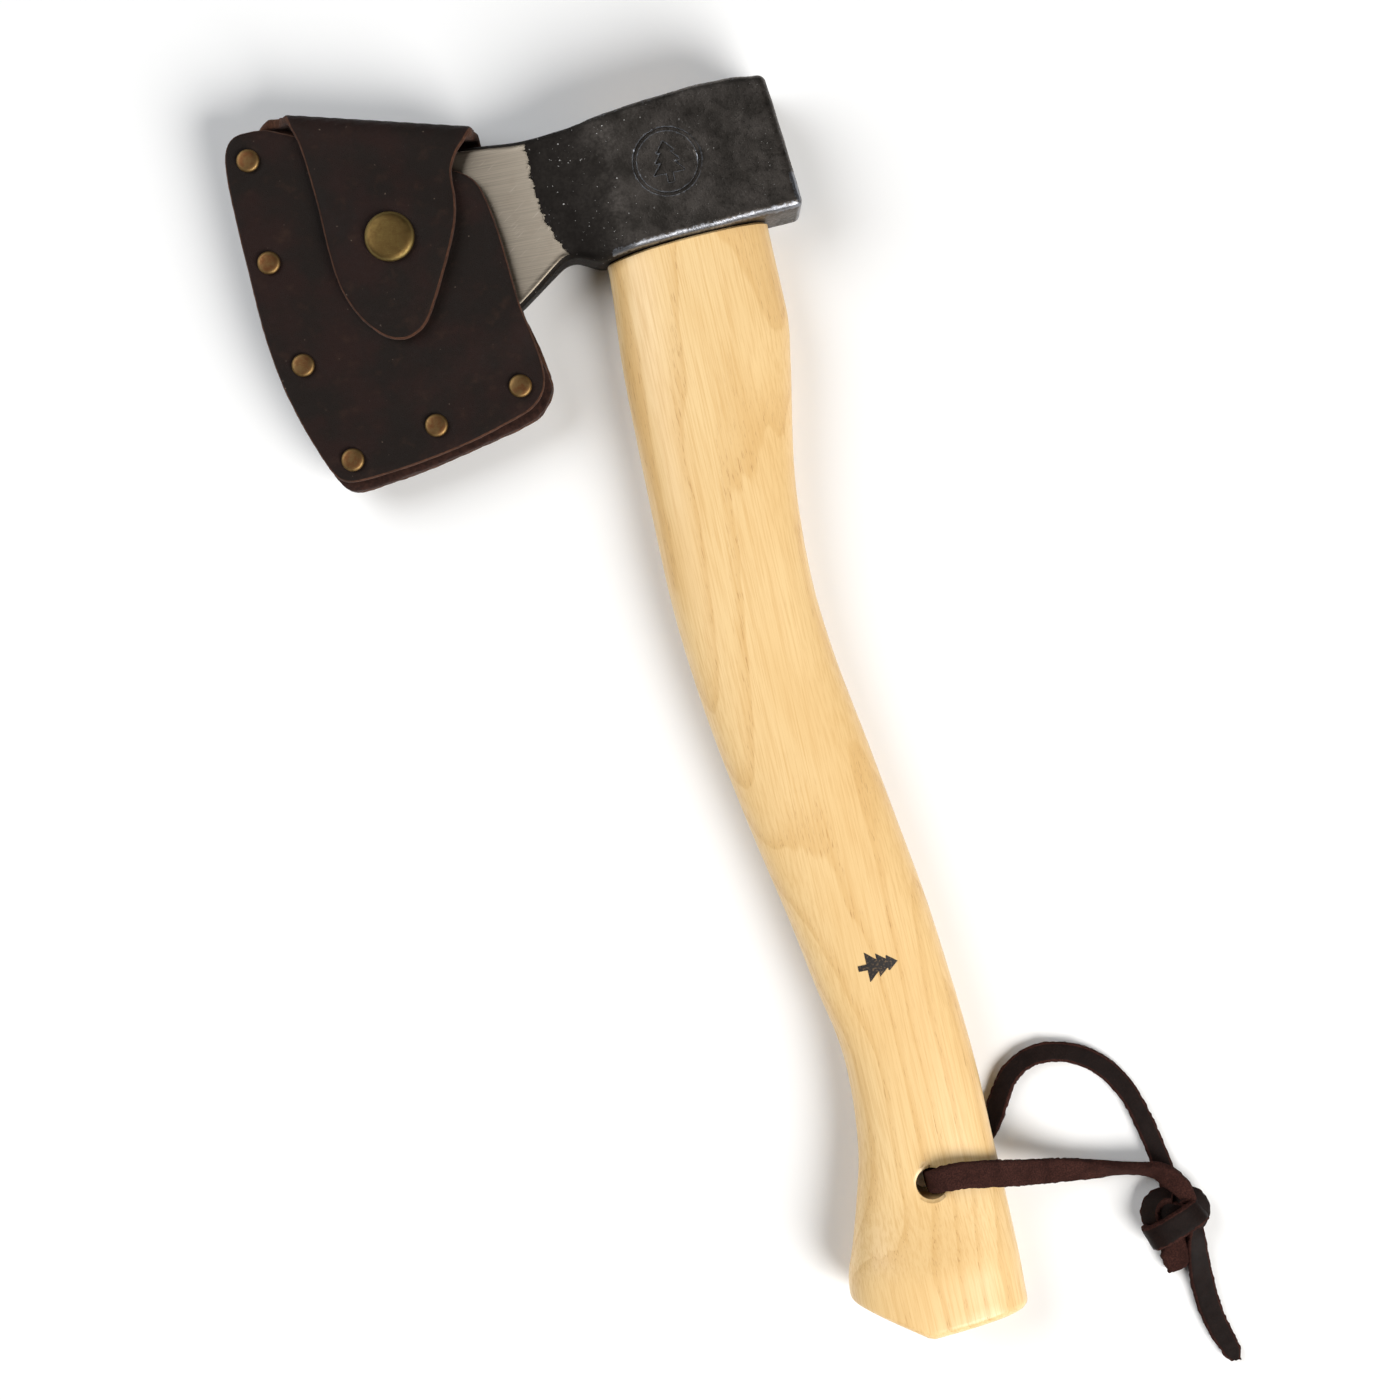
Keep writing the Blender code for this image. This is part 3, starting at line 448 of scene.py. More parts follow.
HEAD_STEEL = head_material()
HANDLE_WOOD = wood_material("handle_ash", linear(244, 211, 155), linear(218, 173, 108), linear(192, 142, 86),
                            gloss=0.35)
WEDGE_WOOD = wood_material("wedge_ash", linear(205, 160, 106), linear(168, 120, 72), linear(120, 82, 46),
                           gloss=0.0)
LEATHER_GRAIN = leather_material("sheath_grain", linear(30, 24, 21), linear(38, 25, 22), linear(55, 40, 33))
LEATHER_EDGE = raw_leather_material("sheath_cut_edge", linear(62, 40, 30), linear(94, 62, 46))
WELT_EDGE = raw_leather_material("welt_cut_edge", linear(66, 36, 30), linear(100, 58, 46))
# Painted shade: the welt's face is darker than its cut edge, for the shaded gap under the front panel's edge.
WELT_FACE_SHADED = raw_leather_material("welt_face_painted_shade", linear(40, 26, 22), linear(64, 41, 34))
LEATHER_FLESH = raw_leather_material("sheath_flesh", linear(78, 52, 42), linear(104, 74, 60))
CAP_BRASS = brass_material("snap_cap_brass", linear(108, 88, 51), linear(170, 148, 93), linear(101, 80, 46))
RIVET_BRASS = brass_material("rivet_brass", linear(111, 87, 56), linear(156, 127, 82), linear(104, 70, 44))
NICKEL = plain_steel_material("nickel_steel", linear(150, 145, 137), 0.36)
LACE_SMOOTH = lace_material("lace_smooth", linear(22, 14, 12), linear(34, 23, 20), matt=False)
LACE_ROUGH = lace_material("lace_rough", linear(44, 26, 23), linear(72, 44, 38), matt=True)


# ---------------------------------------------------------------- mesh tools

def add_mesh(name, verts, faces, materials, face_slots=None, smooth_angle=40.0):
    """A mesh object from points in metres, with outward faces."""
    mesh = bpy.data.meshes.new(name)
    mesh.from_pydata([tuple(v) for v in verts], [], faces)
    for material in materials:
        mesh.materials.append(material)
    if face_slots is not None:
        mesh.polygons.foreach_set("material_index", face_slots)
    bm = bmesh.new()
    bm.from_mesh(mesh)
    bmesh.ops.recalc_face_normals(bm, faces=bm.faces)
    bm.to_mesh(mesh)
    bm.free()
    mesh.shade_smooth()
    mesh.set_sharp_from_angle(angle=math.radians(smooth_angle))
    obj = bpy.data.objects.new(name, mesh)
    bpy.context.scene.collection.objects.link(obj)
    return obj


def wall(low, high, count):
    """Faces between two closed rows of count vertices that start at low and at high."""
    return [(low + i, low + (i + 1) % count, high + (i + 1) % count, high + i) for i in range(count)]


def ring_mesh(rings, mirror_index):
    """Vertices and faces of bridged rings, with both ends closed by a ladder of faces."""
    verts = [point for ring in rings for point in ring]
    count = len(rings[0])
    faces = []
    for k in range(len(rings) - 1):
        faces += wall(k * count, (k + 1) * count, count)
    for start in (0, (len(rings) - 1) * count):
        for i in range((mirror_index + 1) // 2 if mirror_index else count // 2):
            corners = [i, i + 1, (mirror_index - i - 1) % count, (mirror_index - i) % count]
            corners = [start + c for c in dict.fromkeys(corners)]
            if len(corners) > 2:
                faces.append(corners)
    return verts, faces


def turned_mesh(name, profile, material, place, sides=64, axis="Z", wear_rim=None):
    """A solid turned from (radius, height) pairs in millimetres. wear_rim is where its rim is rubbed."""
    closed = profile[0][0] > 0
    verts, faces, rows = [], [], []
    for r, h in profile:
        if r <= 0:
            rows.append([len(verts)] * sides)
            verts.append(Vector((0, 0, h)) * MM)
            continue
        rows.append([len(verts) + i for i in range(sides)])
        for i in range(sides):
            angle = math.tau * i / sides
            verts.append(Vector((r * math.cos(angle), r * math.sin(angle), h)) * MM)
    pairs = list(zip(rows, rows[1:])) + ([(rows[-1], rows[0])] if closed else [])
    for low, high in pairs:
        for i in range(sides):
            j = (i + 1) % sides
            face = list(dict.fromkeys((low[i], low[j], high[j], high[i])))
            if len(face) > 2:
                faces.append(face)
    if axis == "Y":
        verts = [Vector((v.x, v.z, -v.y)) for v in verts]
    obj = add_mesh(name, [v + place for v in verts], faces, [material])
    if wear_rim:
        set_wear(obj, lambda p: math.exp(-(((p - place).xy.length / MM - wear_rim) / 0.45) ** 2))
    return obj


def set_wear(obj, rule, name="wear"):
    """Stores rule(point in metres) on each vertex, for the materials to read."""
    values = obj.data.attributes.new(name, "FLOAT", "POINT")
    values.data.foreach_set("value", [rule(v.co) for v in obj.data.vertices])


def cut_with(obj, *cutters):
    """Cuts the pieces away for good, and removes them."""
    for cutter in cutters:
        modifier = obj.modifiers.new("cut", "BOOLEAN")
        modifier.operation = "DIFFERENCE"
        modifier.solver = "EXACT"
        modifier.object = cutter
    graph = bpy.context.evaluated_depsgraph_get()
    cut = obj.evaluated_get(graph)
    mesh = bpy.data.meshes.new_from_object(cut, preserve_all_data_layers=True, depsgraph=graph)
    obj.modifiers.clear()
    obj.data = mesh
    for cutter in cutters:
        bpy.data.objects.remove(cutter)


def push_vertices(obj, rule):
    """Moves each vertex along its normal by rule(drawn point) millimetres."""
    moves = [v.normal * (rule(drawn(v.co)) * MM) for v in obj.data.vertices]
    for vertex, move in zip(obj.data.vertices, moves):
        vertex.co += move


def prism(name, outline, low_z, high_z):
    """An upright prism over a drawn outline."""
    count = len(outline)
    verts = [at(x, y, z) for z in (low_z, high_z) for x, y in outline]
    faces = [tuple(range(count - 1, -1, -1)), tuple(range(count, 2 * count))]
    return add_mesh(name, verts, faces + wall(0, count, count), [])


def oval(centre_x, half_length, half_width, roundness, count):
    """Points (x, z) of a superellipse around the middle plane, from its +X end."""
    points = []
    for i in range(count):
        angle = math.tau * i / count
        c, s = math.cos(angle), math.sin(angle)
        x = math.copysign(abs(c) ** (2 / roundness), c) if abs(c) > 1e-9 else 0.0
        z = math.copysign(abs(s) ** (2 / roundness), s) if abs(s) > 1e-9 else 0.0
        points.append((centre_x + half_length * x, MID_Z + half_width * z))
    return points


# ---------------------------------------------------------------- camera, light and floor

CAMERA_MIDDLE = (-27.4, -135.3)      # the drawn point under the camera
CAMERA_HEIGHT = 820.0                # above the plane that the framing is measured in
FRAMED_PLANE_Z = 18.0
FRAMED_WIDTH = 420.0
CAMERA_ROLL = -12.7


def add_area_light(name, place, target, size, power, tone):
    light = bpy.data.lights.new(name, "AREA")
    light.shape = "DISK"
    light.size = size
    light.energy = power
    light.color = tone
    obj = bpy.data.objects.new(name, light)
    obj.location = place
    obj.rotation_euler = (Vector(target) - Vector(place)).to_track_quat("-Z", "Y").to_euler()
    bpy.context.scene.collection.objects.link(obj)


def build_stage():
    camera = bpy.data.cameras.new("camera")
    camera.sensor_width = 36.0
    camera.lens = camera.sensor_width * CAMERA_HEIGHT / FRAMED_WIDTH
    camera.clip_end = 20.0
    obj = bpy.data.objects.new("camera", camera)
    obj.location = at(*CAMERA_MIDDLE, FRAMED_PLANE_Z + CAMERA_HEIGHT)
    obj.rotation_euler = (0.0, 0.0, math.radians(CAMERA_ROLL))
    bpy.context.scene.collection.objects.link(obj)
    bpy.context.scene.camera = obj

    side = 6.0
    corners = [(-side, -side, 0), (side, -side, 0), (side, side, 0), (-side, side, 0)]
    floor = add_mesh("floor", [Vector(c) + Vector((0, 0, -0.0004)) for c in corners], [(0, 1, 2, 3)],
                     [floor_material()])
    if floor.data.polygons[0].normal.z < 0:
        floor.data.flip_normals()

    middle = at(-20, -130, 10)
    add_area_light("key", (0.80, -1.35, 1.30), middle, 1.3, 45.0, (1.0, 0.985, 0.96))
    add_area_light("fill", (-1.15, 0.8, 1.45), middle, 1.6, 27.5, (0.96, 0.98, 1.0))

    world = bpy.data.worlds.new("studio")
    world.use_nodes = True
    tree = world.node_tree
    sky = tree.nodes.new("ShaderNodeTexCoord")
    split = tree.nodes.new("ShaderNodeSeparateXYZ")
    ramp = tree.nodes.new("ShaderNodeMapRange")
    tree.links.new(sky.outputs["Generated"], split.inputs[0])
    tree.links.new(split.outputs["Z"], ramp.inputs["Value"])
    for socket, value in (("From Min", 0.55), ("From Max", 0.97), ("To Min", 1.42), ("To Max", 0.86)):
        ramp.inputs[socket].default_value = value
    tree.links.new(ramp.outputs[0], tree.nodes["Background"].inputs["Strength"])
    bpy.context.scene.world = world
    bpy.context.scene.view_settings.view_transform = "Standard"


build_stage()


# ---------------------------------------------------------------- lanyard

LACE_HOLE = (8.3, -290.9)
LACE_THICKNESS = 2.6
LACE_CORNER = 0.75
LACE_STEPS = 8
TOP_MOUTH_Z = 24.8
LOW_MOUTH_Z = 3.2
BAND_TURN = 19.0               # the knot's band: its turn in degrees, half its length and half its height
BAND_HALF_LENGTH = 8.6
BAND_HALF_HEIGHT = 4.6
FRONT_STRAND = [(*LACE_HOLE, 14.6), (*LACE_HOLE, 21.0), (8.8, -290.3, 25.0), (11.6, -289.8, 27.4),
                (17.3, -290.0, 27.4), (23.0, -291.2, 25.5), (29.0, -292.9, 21.8), (35.5, -295.0, 16.8),
                (42.0, -296.9, 11.8), (49.0, -298.8, 7.8), (57.0, -300.9, 5.2), (65.0, -302.5, 4.5),
                (71.8, -304.0, 5.0), (77.1, -305.8, 6.6), (80.6, -309.0, 7.6)]
BACK_STRAND = [(*LACE_HOLE, 14.0), (*LACE_HOLE, 8.0), (8.9, -290.8, 4.2), (12.0, -290.5, 1.9),
               (17.5, -289.6, 1.5), (24.5, -286.6, 1.6), (30.6, -281.2, 1.9), (34.9, -274.5, 2.1),
               (38.4, -269.2, 2.1), (42.6, -265.7, 2.0), (47.6, -263.9, 1.9), (53.6, -263.8, 1.8),
               (60.2, -265.9, 1.7), (66.4, -270.0, 1.6), (71.2, -275.8, 1.5), (74.6, -283.0, 1.5),
               (76.7, -290.7, 1.5), (78.2, -298.2, 1.5), (79.3, -305.0, 1.6), (79.9, -309.2, 2.0)]
LONG_TAIL = [(83.8, -332.6, 3.2), (83.5, -338.5, 2.2), (83.5, -344.5, 1.7), (83.9, -350.7, 1.5),
             (85.3, -357.8, 1.5), (87.2, -363.9, 1.5), (88.3, -368.2, 1.5)]
SHORT_TAIL = [(76.7, -333.2, 3.0), (75.7, -335.3, 2.5), (74.7, -337.2, 2.0)]
FRONT_IN_KNOT = [(83.2, -313.2, 8.2), (84.2, -318.6, 7.2), (84.2, -326.0, 5.0)]
BACK_IN_KNOT = [(79.6, -314.5, 3.6), (78.8, -320.5, 4.6), (77.9, -327.6, 4.2)]
# The knot's lobes, from each lobe's centre, and its core, from the knot's middle.
KNOT_LEFT_LOBE = [(3.2, 4.6, 1.6), (0.4, 4.9, 0.6), (-2.6, 3.4, 0.0), (-4.2, 0.6, -0.2), (-4.0, -2.6, -0.4),
                  (-2.0, -5.2, -0.6), (1.0, -6.0, -0.8)]
KNOT_RIGHT_LOBE = [(-3.4, 2.6, -0.6), (-0.6, 3.9, 0.4), (2.0, 3.4, 0.8), (3.7, 1.2, 0.8), (4.0, -1.8, 0.6),
                   (2.6, -4.6, 0.2), (0.0, -5.8, -0.6)]
KNOT_CORE = [(-6.0, 3.4, -2.6), (-3.6, 3.6, -0.2), (-0.6, 2.9, 1.3), (2.6, 1.6, 1.2), (5.0, 0.4, -0.4)]
# How far the lace is turned from lying flat, in degrees, and its width, against the route's points.
FRONT_TWIST = [(0, 0), (7, 2), (9, 12), (10, 34), (11, 60), (12, 64), (13, 44), (14, 24), (15, 16), (16, 60),
               (17, 150), (18, 172), (20, 180), (24, 180)]
FRONT_WIDTH = [(0, 6.6), (2, 7.0), (4, 7.9), (8, 7.6), (11, 6.8), (14, 6.6), (16, 5.2), (18, 6.4), (20, 7.2),
               (22, 6.8), (24, 5.6)]
BACK_TWIST = [(0, 0), (5, -8), (7, -16), (9, -12), (12, -5), (15, 0), (19, 0), (20, 20), (21, 90), (22, 160),
              (23, 180), (25, 180)]
BACK_WIDTH = [(0, 6.6), (5, 6.4), (8, 6.1), (18, 6.0), (20, 5.4), (21, 4.8), (22, 7.4), (23, 8.8), (24, 6.4),
              (25, 3.4)]


def ribbon_section(width):
    """A flat strip's section as (across, up) points, and each point's face: 1 up, -1 down, 0 an edge."""
    points = []
    for sx, sy, start in ((1, 1, 0), (-1, 1, 90), (-1, -1, 180), (1, -1, 270)):
        for k in range(4):
            angle = math.radians(start + 30 * k)
            points.append((sx * (width / 2 - LACE_CORNER) + LACE_CORNER * math.cos(angle),
                           sy * (LACE_THICKNESS / 2 - LACE_CORNER) + LACE_CORNER * math.sin(angle)))
    section, sides = [], []
    for k, point in enumerate(points):
        following = points[(k + 1) % len(points)]
        flat = abs(point[1] - following[1]) < 1e-6
        pieces = 6 if flat else 1
        for p in range(pieces):
            t = p / pieces
            section.append((lerp(point[0], following[0], t), lerp(point[1], following[1], t)))
            sides.append((1 if point[1] > 0 else -1) if flat else 0)
    return section, sides


def lace_frames(line, closed, outward):
    """The directions along, across and out of a strip at each point of its line, before its twist."""
    frames = []
    across = Vector((0, -1, 0))
    for k, place in enumerate(line):
        before = line[k - 1] if closed else line[max(k - 1, 0)]
        after = line[(k + 1) % len(line)] if closed else line[min(k + 1, len(line) - 1)]
        along = (after - before).normalized()
        fresh = along.cross(outward(place).normalized())
        if fresh.length > 0.35:
            across = across.lerp(fresh.normalized(), 0.45) if frames else fresh.normalized()
        across = (across - along * across.dot(along)).normalized()
        frames.append((along, across, across.cross(along)))
    return frames


def ribbon(name, route, twist, width, smooth_up, closed=False, outward=lambda p: Vector((0, 0, 1)),
           ragged_end=False, seed=1.0):
    """A strip of lace along a route, and its centreline. outward gives its upper side's direction."""
    line = curve_through(route, LACE_STEPS, closed)
    verts, faces, slots = [], [], []
    count = len(line)
    for k, (place, (along, across, top)) in enumerate(zip(line, lace_frames(line, closed, outward))):
        turn = Matrix.Rotation(math.radians(read_curve(twist, k / LACE_STEPS)), 3, along)
        side, lift = turn @ across, turn @ top
        full = read_curve(width, k / LACE_STEPS) * (1 + 0.05 * rough((k * 0.9, seed, 0), 7.0))
        if ragged_end:
            full *= 1 - 0.5 * ease((k - count + 7) / 6)
        section, sides = ribbon_section(max(full, 2.0))
        for a, b in section:
            nap = 0.36 * rough((place.x + a, place.y, place.z + b), 1.1, seed)
            fray = 1.6 * rough((a, seed, 0), 1.3, 3.0) if ragged_end and k == count - 1 else 0.0
            edge = 1.0 if abs(a) > full * 0.4 else 0.3
            verts.append(place + side * (a + nap * edge * math.copysign(1, a)) + lift * (b + nap * 0.3)
                         + along * fray)
    size = len(section)
    slot_of = {1: 0 if smooth_up else 1, -1: 1 if smooth_up else 0, 0: 1}
    for k in range(count if closed else count - 1):
        faces += wall(k * size, ((k + 1) % count) * size, size)
        slots += [slot_of[side] for side in sides]
    if not closed:
        faces += [tuple(range(size)), tuple(range((count - 1) * size, count * size))[::-1]]
        slots += [1, 1]
    obj = add_mesh(name, [at(*v) for v in verts], faces, [LACE_SMOOTH, LACE_ROUGH], slots, 50.0)
    return obj, [at(*p) for p in line]


def tilted(centre):
    """An outward direction that leans half up and half away from a lobe's centre."""
    def outward(place):
        away = (place - centre) * Vector((1, 1, 0))
        return away.normalized() + Vector((0, 0, 1))
    return outward


def build_knot():
    """The knot's visible turns: a band across the lace, and a lobe on each side of its neck."""
    knot = drawn(box_middle("lanyard_knot"))
    flat = [(0, 0)]
    along = Vector((math.cos(math.radians(BAND_TURN)), math.sin(math.radians(BAND_TURN)), 0.0))
    middle = knot + Vector((-0.2, -0.6, 0.2))
    band = []
    for k in range(16):
        angle = math.tau * k / 16
        c, s = math.cos(angle), math.sin(angle)
        reach = along * (BAND_HALF_LENGTH * math.copysign(abs(c) ** 0.8, c))
        rise = BAND_HALF_HEIGHT * math.copysign(abs(s) ** 0.8, s)
        band.append(middle + reach + Vector((0, 0, rise)))
    left, right = knot + Vector((-2.4, 3.4, -0.4)), knot + Vector((4.6, 3.0, 0.0))
    left_turn = [left + Vector(d) for d in KNOT_LEFT_LOBE]
    right_turn = [right + Vector(d) for d in KNOT_RIGHT_LOBE]
    core = [knot + Vector(d) for d in KNOT_CORE]
    return [ribbon("knot_band", band, flat, [(0, 7.8)], True, True, lambda p: p - middle, seed=7.0)[0],
            ribbon("knot_left_lobe", left_turn, flat, [(0, 5.6), (3, 6.6), (6, 5.6)], True,
                   outward=tilted(left), seed=9.0)[0],
            ribbon("knot_right_lobe", right_turn, flat, [(0, 5.4), (3, 6.2), (6, 5.4)], True,
                   outward=tilted(right), seed=11.0)[0],
            ribbon("knot_core", core, flat, [(0, 7.0)], True, seed=13.0)[0]]


def build_lanyard():
    """One lace through the handle's hole, with both ends tied in one knot."""
    front_route = FRONT_STRAND + FRONT_IN_KNOT + LONG_TAIL
    back_route = BACK_STRAND + BACK_IN_KNOT + SHORT_TAIL
    front, front_path = ribbon("lace_front_and_long_tail", front_route, FRONT_TWIST, FRONT_WIDTH, False,
                               ragged_end=True, seed=2.0)
    back, back_path = ribbon("lace_back_and_short_tail", back_route, BACK_TWIST, BACK_WIDTH, True,
                             ragged_end=True, seed=5.0)
    turns = build_knot()
    for piece in [front, back] + turns:
        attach(piece, "hatchet")
    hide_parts("lanyard_front_strand", "lanyard_long_tail")
    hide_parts("lanyard_back_strand", "lanyard_short_tail")
    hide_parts("lanyard_knot")
    top_mouth, low_mouth = at(*LACE_HOLE, TOP_MOUTH_Z), at(*LACE_HOLE, LOW_MOUTH_Z)
    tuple(top_mouth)
    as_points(front_path)
    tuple(low_mouth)
    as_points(back_path)


build_lanyard()


# ---------------------------------------------------------------- generic mark

def pine_outline(centre, height):
    """A plain pine tree of three tiers on a stem, as an outline."""
    half = [(0.0, 1.0), (0.30, 0.62), (0.15, 0.62), (0.42, 0.28), (0.20, 0.28), (0.54, -0.10), (0.10, -0.10),
            (0.10, -0.42)]
    points = half + [(-x, y) for x, y in half[:0:-1]]
    return [(centre[0] + x * height / 1.42, centre[1] + (y - 0.29) * height / 1.42) for x, y in points]


def circle(centre, radius, count=48):
    angles = [math.tau * i / count for i in range(count)]
    return [(centre[0] + radius * math.cos(angle), centre[1] + radius * math.sin(angle)) for angle in angles]


# ---------------------------------------------------------------- head

CHEEK_HALF = 14.0
HEAD_HALF = [(-119.1, 0.2), (-112.0, 1.1), (-96.0, 2.1), (-75.0, 3.3), (-54.0, 5.0), (-40.0, 7.2),
             (-30.0, 9.9), (-22.0, 12.6), (-15.0, CHEEK_HALF), (40.0, CHEEK_HALF)]
HEAD_TOP = [(-119.1, 58.3), (-104.0, 53.0), (-86.0, 47.0), (-70.0, 43.4), (-54.0, 41.3), (-41.0, 39.9),
            (-31.0, 39.9), (-20.0, 40.9), (-12.0, 41.7), (0.0, 42.7), (11.0, 43.4), (22.0, 43.2),
            (35.1, 42.2)]
HEAD_FOOT = [(-119.1, -36.0), (-100.0, -27.5), (-80.0, -19.0), (-66.0, -13.6), (-54.0, -9.2),
             (-48.0, -5.2), (-42.0, -1.0), (-38.0, 1.6), (-34.5, 1.9), (-31.5, 0.4), (-28.5, -1.2),
             (-24.0, -1.3), (-12.0, -0.4), (0.0, 0.1), (14.0, 0.5), (35.1, 0.9)]
STRAIGHT_UNTIL_X = -72.0
EDGE_CURVE = [(0.0, -109.8), (0.2, -114.4), (0.43, -117.9), (0.68, -119.1), (0.95, -117.6), (1.0, -115.4)]
POLL_FOOT = (35.2, 0.9)
POLL_TOP = (32.0, 42.2)
POLL_SLANT_FROM_X = 22.0
CORNER_R = 2.6
CHEEK_ROWS = 42
CORNER_STEPS = 5
SIDE_ROWS = 6
HEAD_CELL = 1.05
HEAD_SHARP_ANGLE = 50.0

EYE_X = -1.1
EYE_HALF_LENGTH = 22.5
EYE_HALF_WIDTH = 8.75
EYE_ROUNDNESS = 2.6
EYE_CUTTER_ENDS_Y = (-20.0, 70.0)
TONGUE_TOP_Y = 40.4
KERF_FOOT_Y = 8.0
KERF_FOOT_HALF = 0.8
KERF_TOP_HALF = 2.6
RING_OUTER = 6.2
RING_INNER = 4.8
RING_DEPTH = 9.0


def soft_foot(x):
    """The foot line with its corners eased."""
    offsets = (-1.2, -0.6, 0.0, 0.6, 1.2)
    return sum(read_curve(HEAD_FOOT, x + d, smooth=False) for d in offsets) / len(offsets)


def head_ring(station, inset=0.0, shrink=1.0):
    """One ring of the head: up its upper cheek, over the top, and back down its lower cheek."""
    half = read_curve(HEAD_HALF, station) - inset
    foot, top = soft_foot(station) + inset, read_curve(HEAD_TOP, station) - inset
    corner = min(CORNER_R, half * 0.45) if not inset else max(CORNER_R - inset, 0.3)
    side = half - corner
    points = [(foot, side * (2 * k / SIDE_ROWS - 1)) for k in range(SIDE_ROWS // 2, SIDE_ROWS)]
    for k in range(CORNER_STEPS):
        angle = math.pi / 2 * k / CORNER_STEPS
        points.append((foot + corner * (1 - math.cos(angle)), side + corner * math.sin(angle)))
    for k in range(CHEEK_ROWS + 1):
        points.append((lerp(foot + corner, top - corner, k / CHEEK_ROWS), half))
    for k in range(1, CORNER_STEPS + 1):
        angle = math.pi / 2 * k / CORNER_STEPS
        points.append((top - corner * (1 - math.sin(angle)), side + corner * math.cos(angle)))
    points += [(top, side * (1 - 2 * k / SIDE_ROWS)) for k in range(1, SIDE_ROWS // 2 + 1)]
    points += [(y, -z) for y, z in points[-2:0:-1]]
    middle = (foot + top) / 2
    ring = []
    for y, z in points:
        y, z = middle + (y - middle) * shrink, z * shrink
        ring.append(at(head_x(station, y, foot, top), y, MID_Z + z))
    return ring


def head_x(station, y, foot, top):
    if station > POLL_SLANT_FROM_X:
        slant = (POLL_TOP[0] - POLL_FOOT[0]) / (POLL_TOP[1] - POLL_FOOT[1])
        weight = ease((station - POLL_SLANT_FROM_X) / (POLL_FOOT[0] - CORNER_R - POLL_SLANT_FROM_X))
        return station + slant * (y - POLL_FOOT[1]) * weight
    if station > STRAIGHT_UNTIL_X:
        return station
    t = (station - STRAIGHT_UNTIL_X) / (HEAD_HALF[0][0] - STRAIGHT_UNTIL_X)
    return lerp(STRAIGHT_UNTIL_X, read_curve(EDGE_CURVE, (y - foot) / (top - foot)), t)


def bit_border(y):
    """Where the ground bit ends at a drawn height."""
    return BIT_BORDER_X + BIT_BORDER_BEND * max(BIT_BORDER_BEND_Y - y, 0.0) ** 2


def head_ground(point):
    """1 on the cheeks, which are ground at the bit, and 0 on the narrow sides, which keep their scale."""
    p = drawn(point)
    return ease((min(p.y - soft_foot(p.x), read_curve(HEAD_TOP, p.x) - p.y) - 0.7) / 1.2)


def head_wear_and_highlight(point):
    """1 on the head's outer corners, where handling has rubbed the scale off, stronger along the lower edge
    as a painted highlight; round the stamp's lines it is a painted highlight.
    """
    p = drawn(point)
    # Painted highlight: bright metal along the stamp's lines.
    if (p.xy - Vector(MARK_MIDDLE)).length < MARK_RIM_R + 2.0 and p.z > MID_Z + CHEEK_HALF - 0.25:
        away = distance_to([p.xy], MARK_LINES)[0]
        return 0.95 * math.exp(-(away / 0.45) ** 2)
    half = read_curve(HEAD_HALF, p.x)
    from_cheek = half - abs(p.z - MID_Z)
    from_side = min(p.y - soft_foot(p.x), read_curve(HEAD_TOP, p.x) - p.y)
    from_poll = head_x(POLL_FOOT[0], p.y, 0.0, 1.0) - p.x
    first, second = sorted((from_cheek, from_side, from_poll))[:2]
    # Painted highlight: the lower edge is worn brighter than the upper.
    lower = 1.25 if p.y < 12.0 else 0.72
    if p.x < -24.0:
        lower = 0.45
    return lower * math.exp(-(max(first, 0.0) / 1.5) ** 2 - (max(second, 0.0) / 2.3) ** 2)


def head_dent(p):
    """Hammered and scaled unevenness, none of it on the ground bit."""
    scaled = ease((p.x - bit_border(p.y)) / 3.0)
    return scaled * (0.16 * rough(p, 8.0, 1.0) + 0.07 * rough(p, 2.6, 2.0) + 0.03 * rough(p, 1.2, 3.0)) - 0.05


MARK_MIDDLE = (-1.8, 22.6)
MARK_TREE_HEIGHT = 12.5
MARK_RIM_R = 10.2
MARK_RIM_INNER_R = 9.2
MARK_DEPTH = 0.6
MARK_OUTLINES = (pine_outline(MARK_MIDDLE, MARK_TREE_HEIGHT), circle(MARK_MIDDLE, MARK_RIM_R),
                 circle(MARK_MIDDLE, MARK_RIM_INNER_R))
MARK_LINES = [tuple(p) for outline in MARK_OUTLINES
              for p in even_points([Vector(q) for q in outline], 0.4, True)]


def head_rings():
    """The head's rings, from the middle of its poll to its cutting edge."""
    last, poll = HEAD_HALF[0][0], POLL_FOOT[0]
    rings = [head_ring(poll, CORNER_R, k / 12) for k in range(1, 12)]
    for k in range(CORNER_STEPS + 1):
        angle = math.pi / 2 * k / CORNER_STEPS
        rings.append(head_ring(poll - CORNER_R * (1 - math.cos(angle)), CORNER_R * (1 - math.sin(angle))))
    count = round((poll - CORNER_R - last) / HEAD_CELL)
    return rings + [head_ring(lerp(poll - CORNER_R, last, k / count)) for k in range(1, count + 1)]


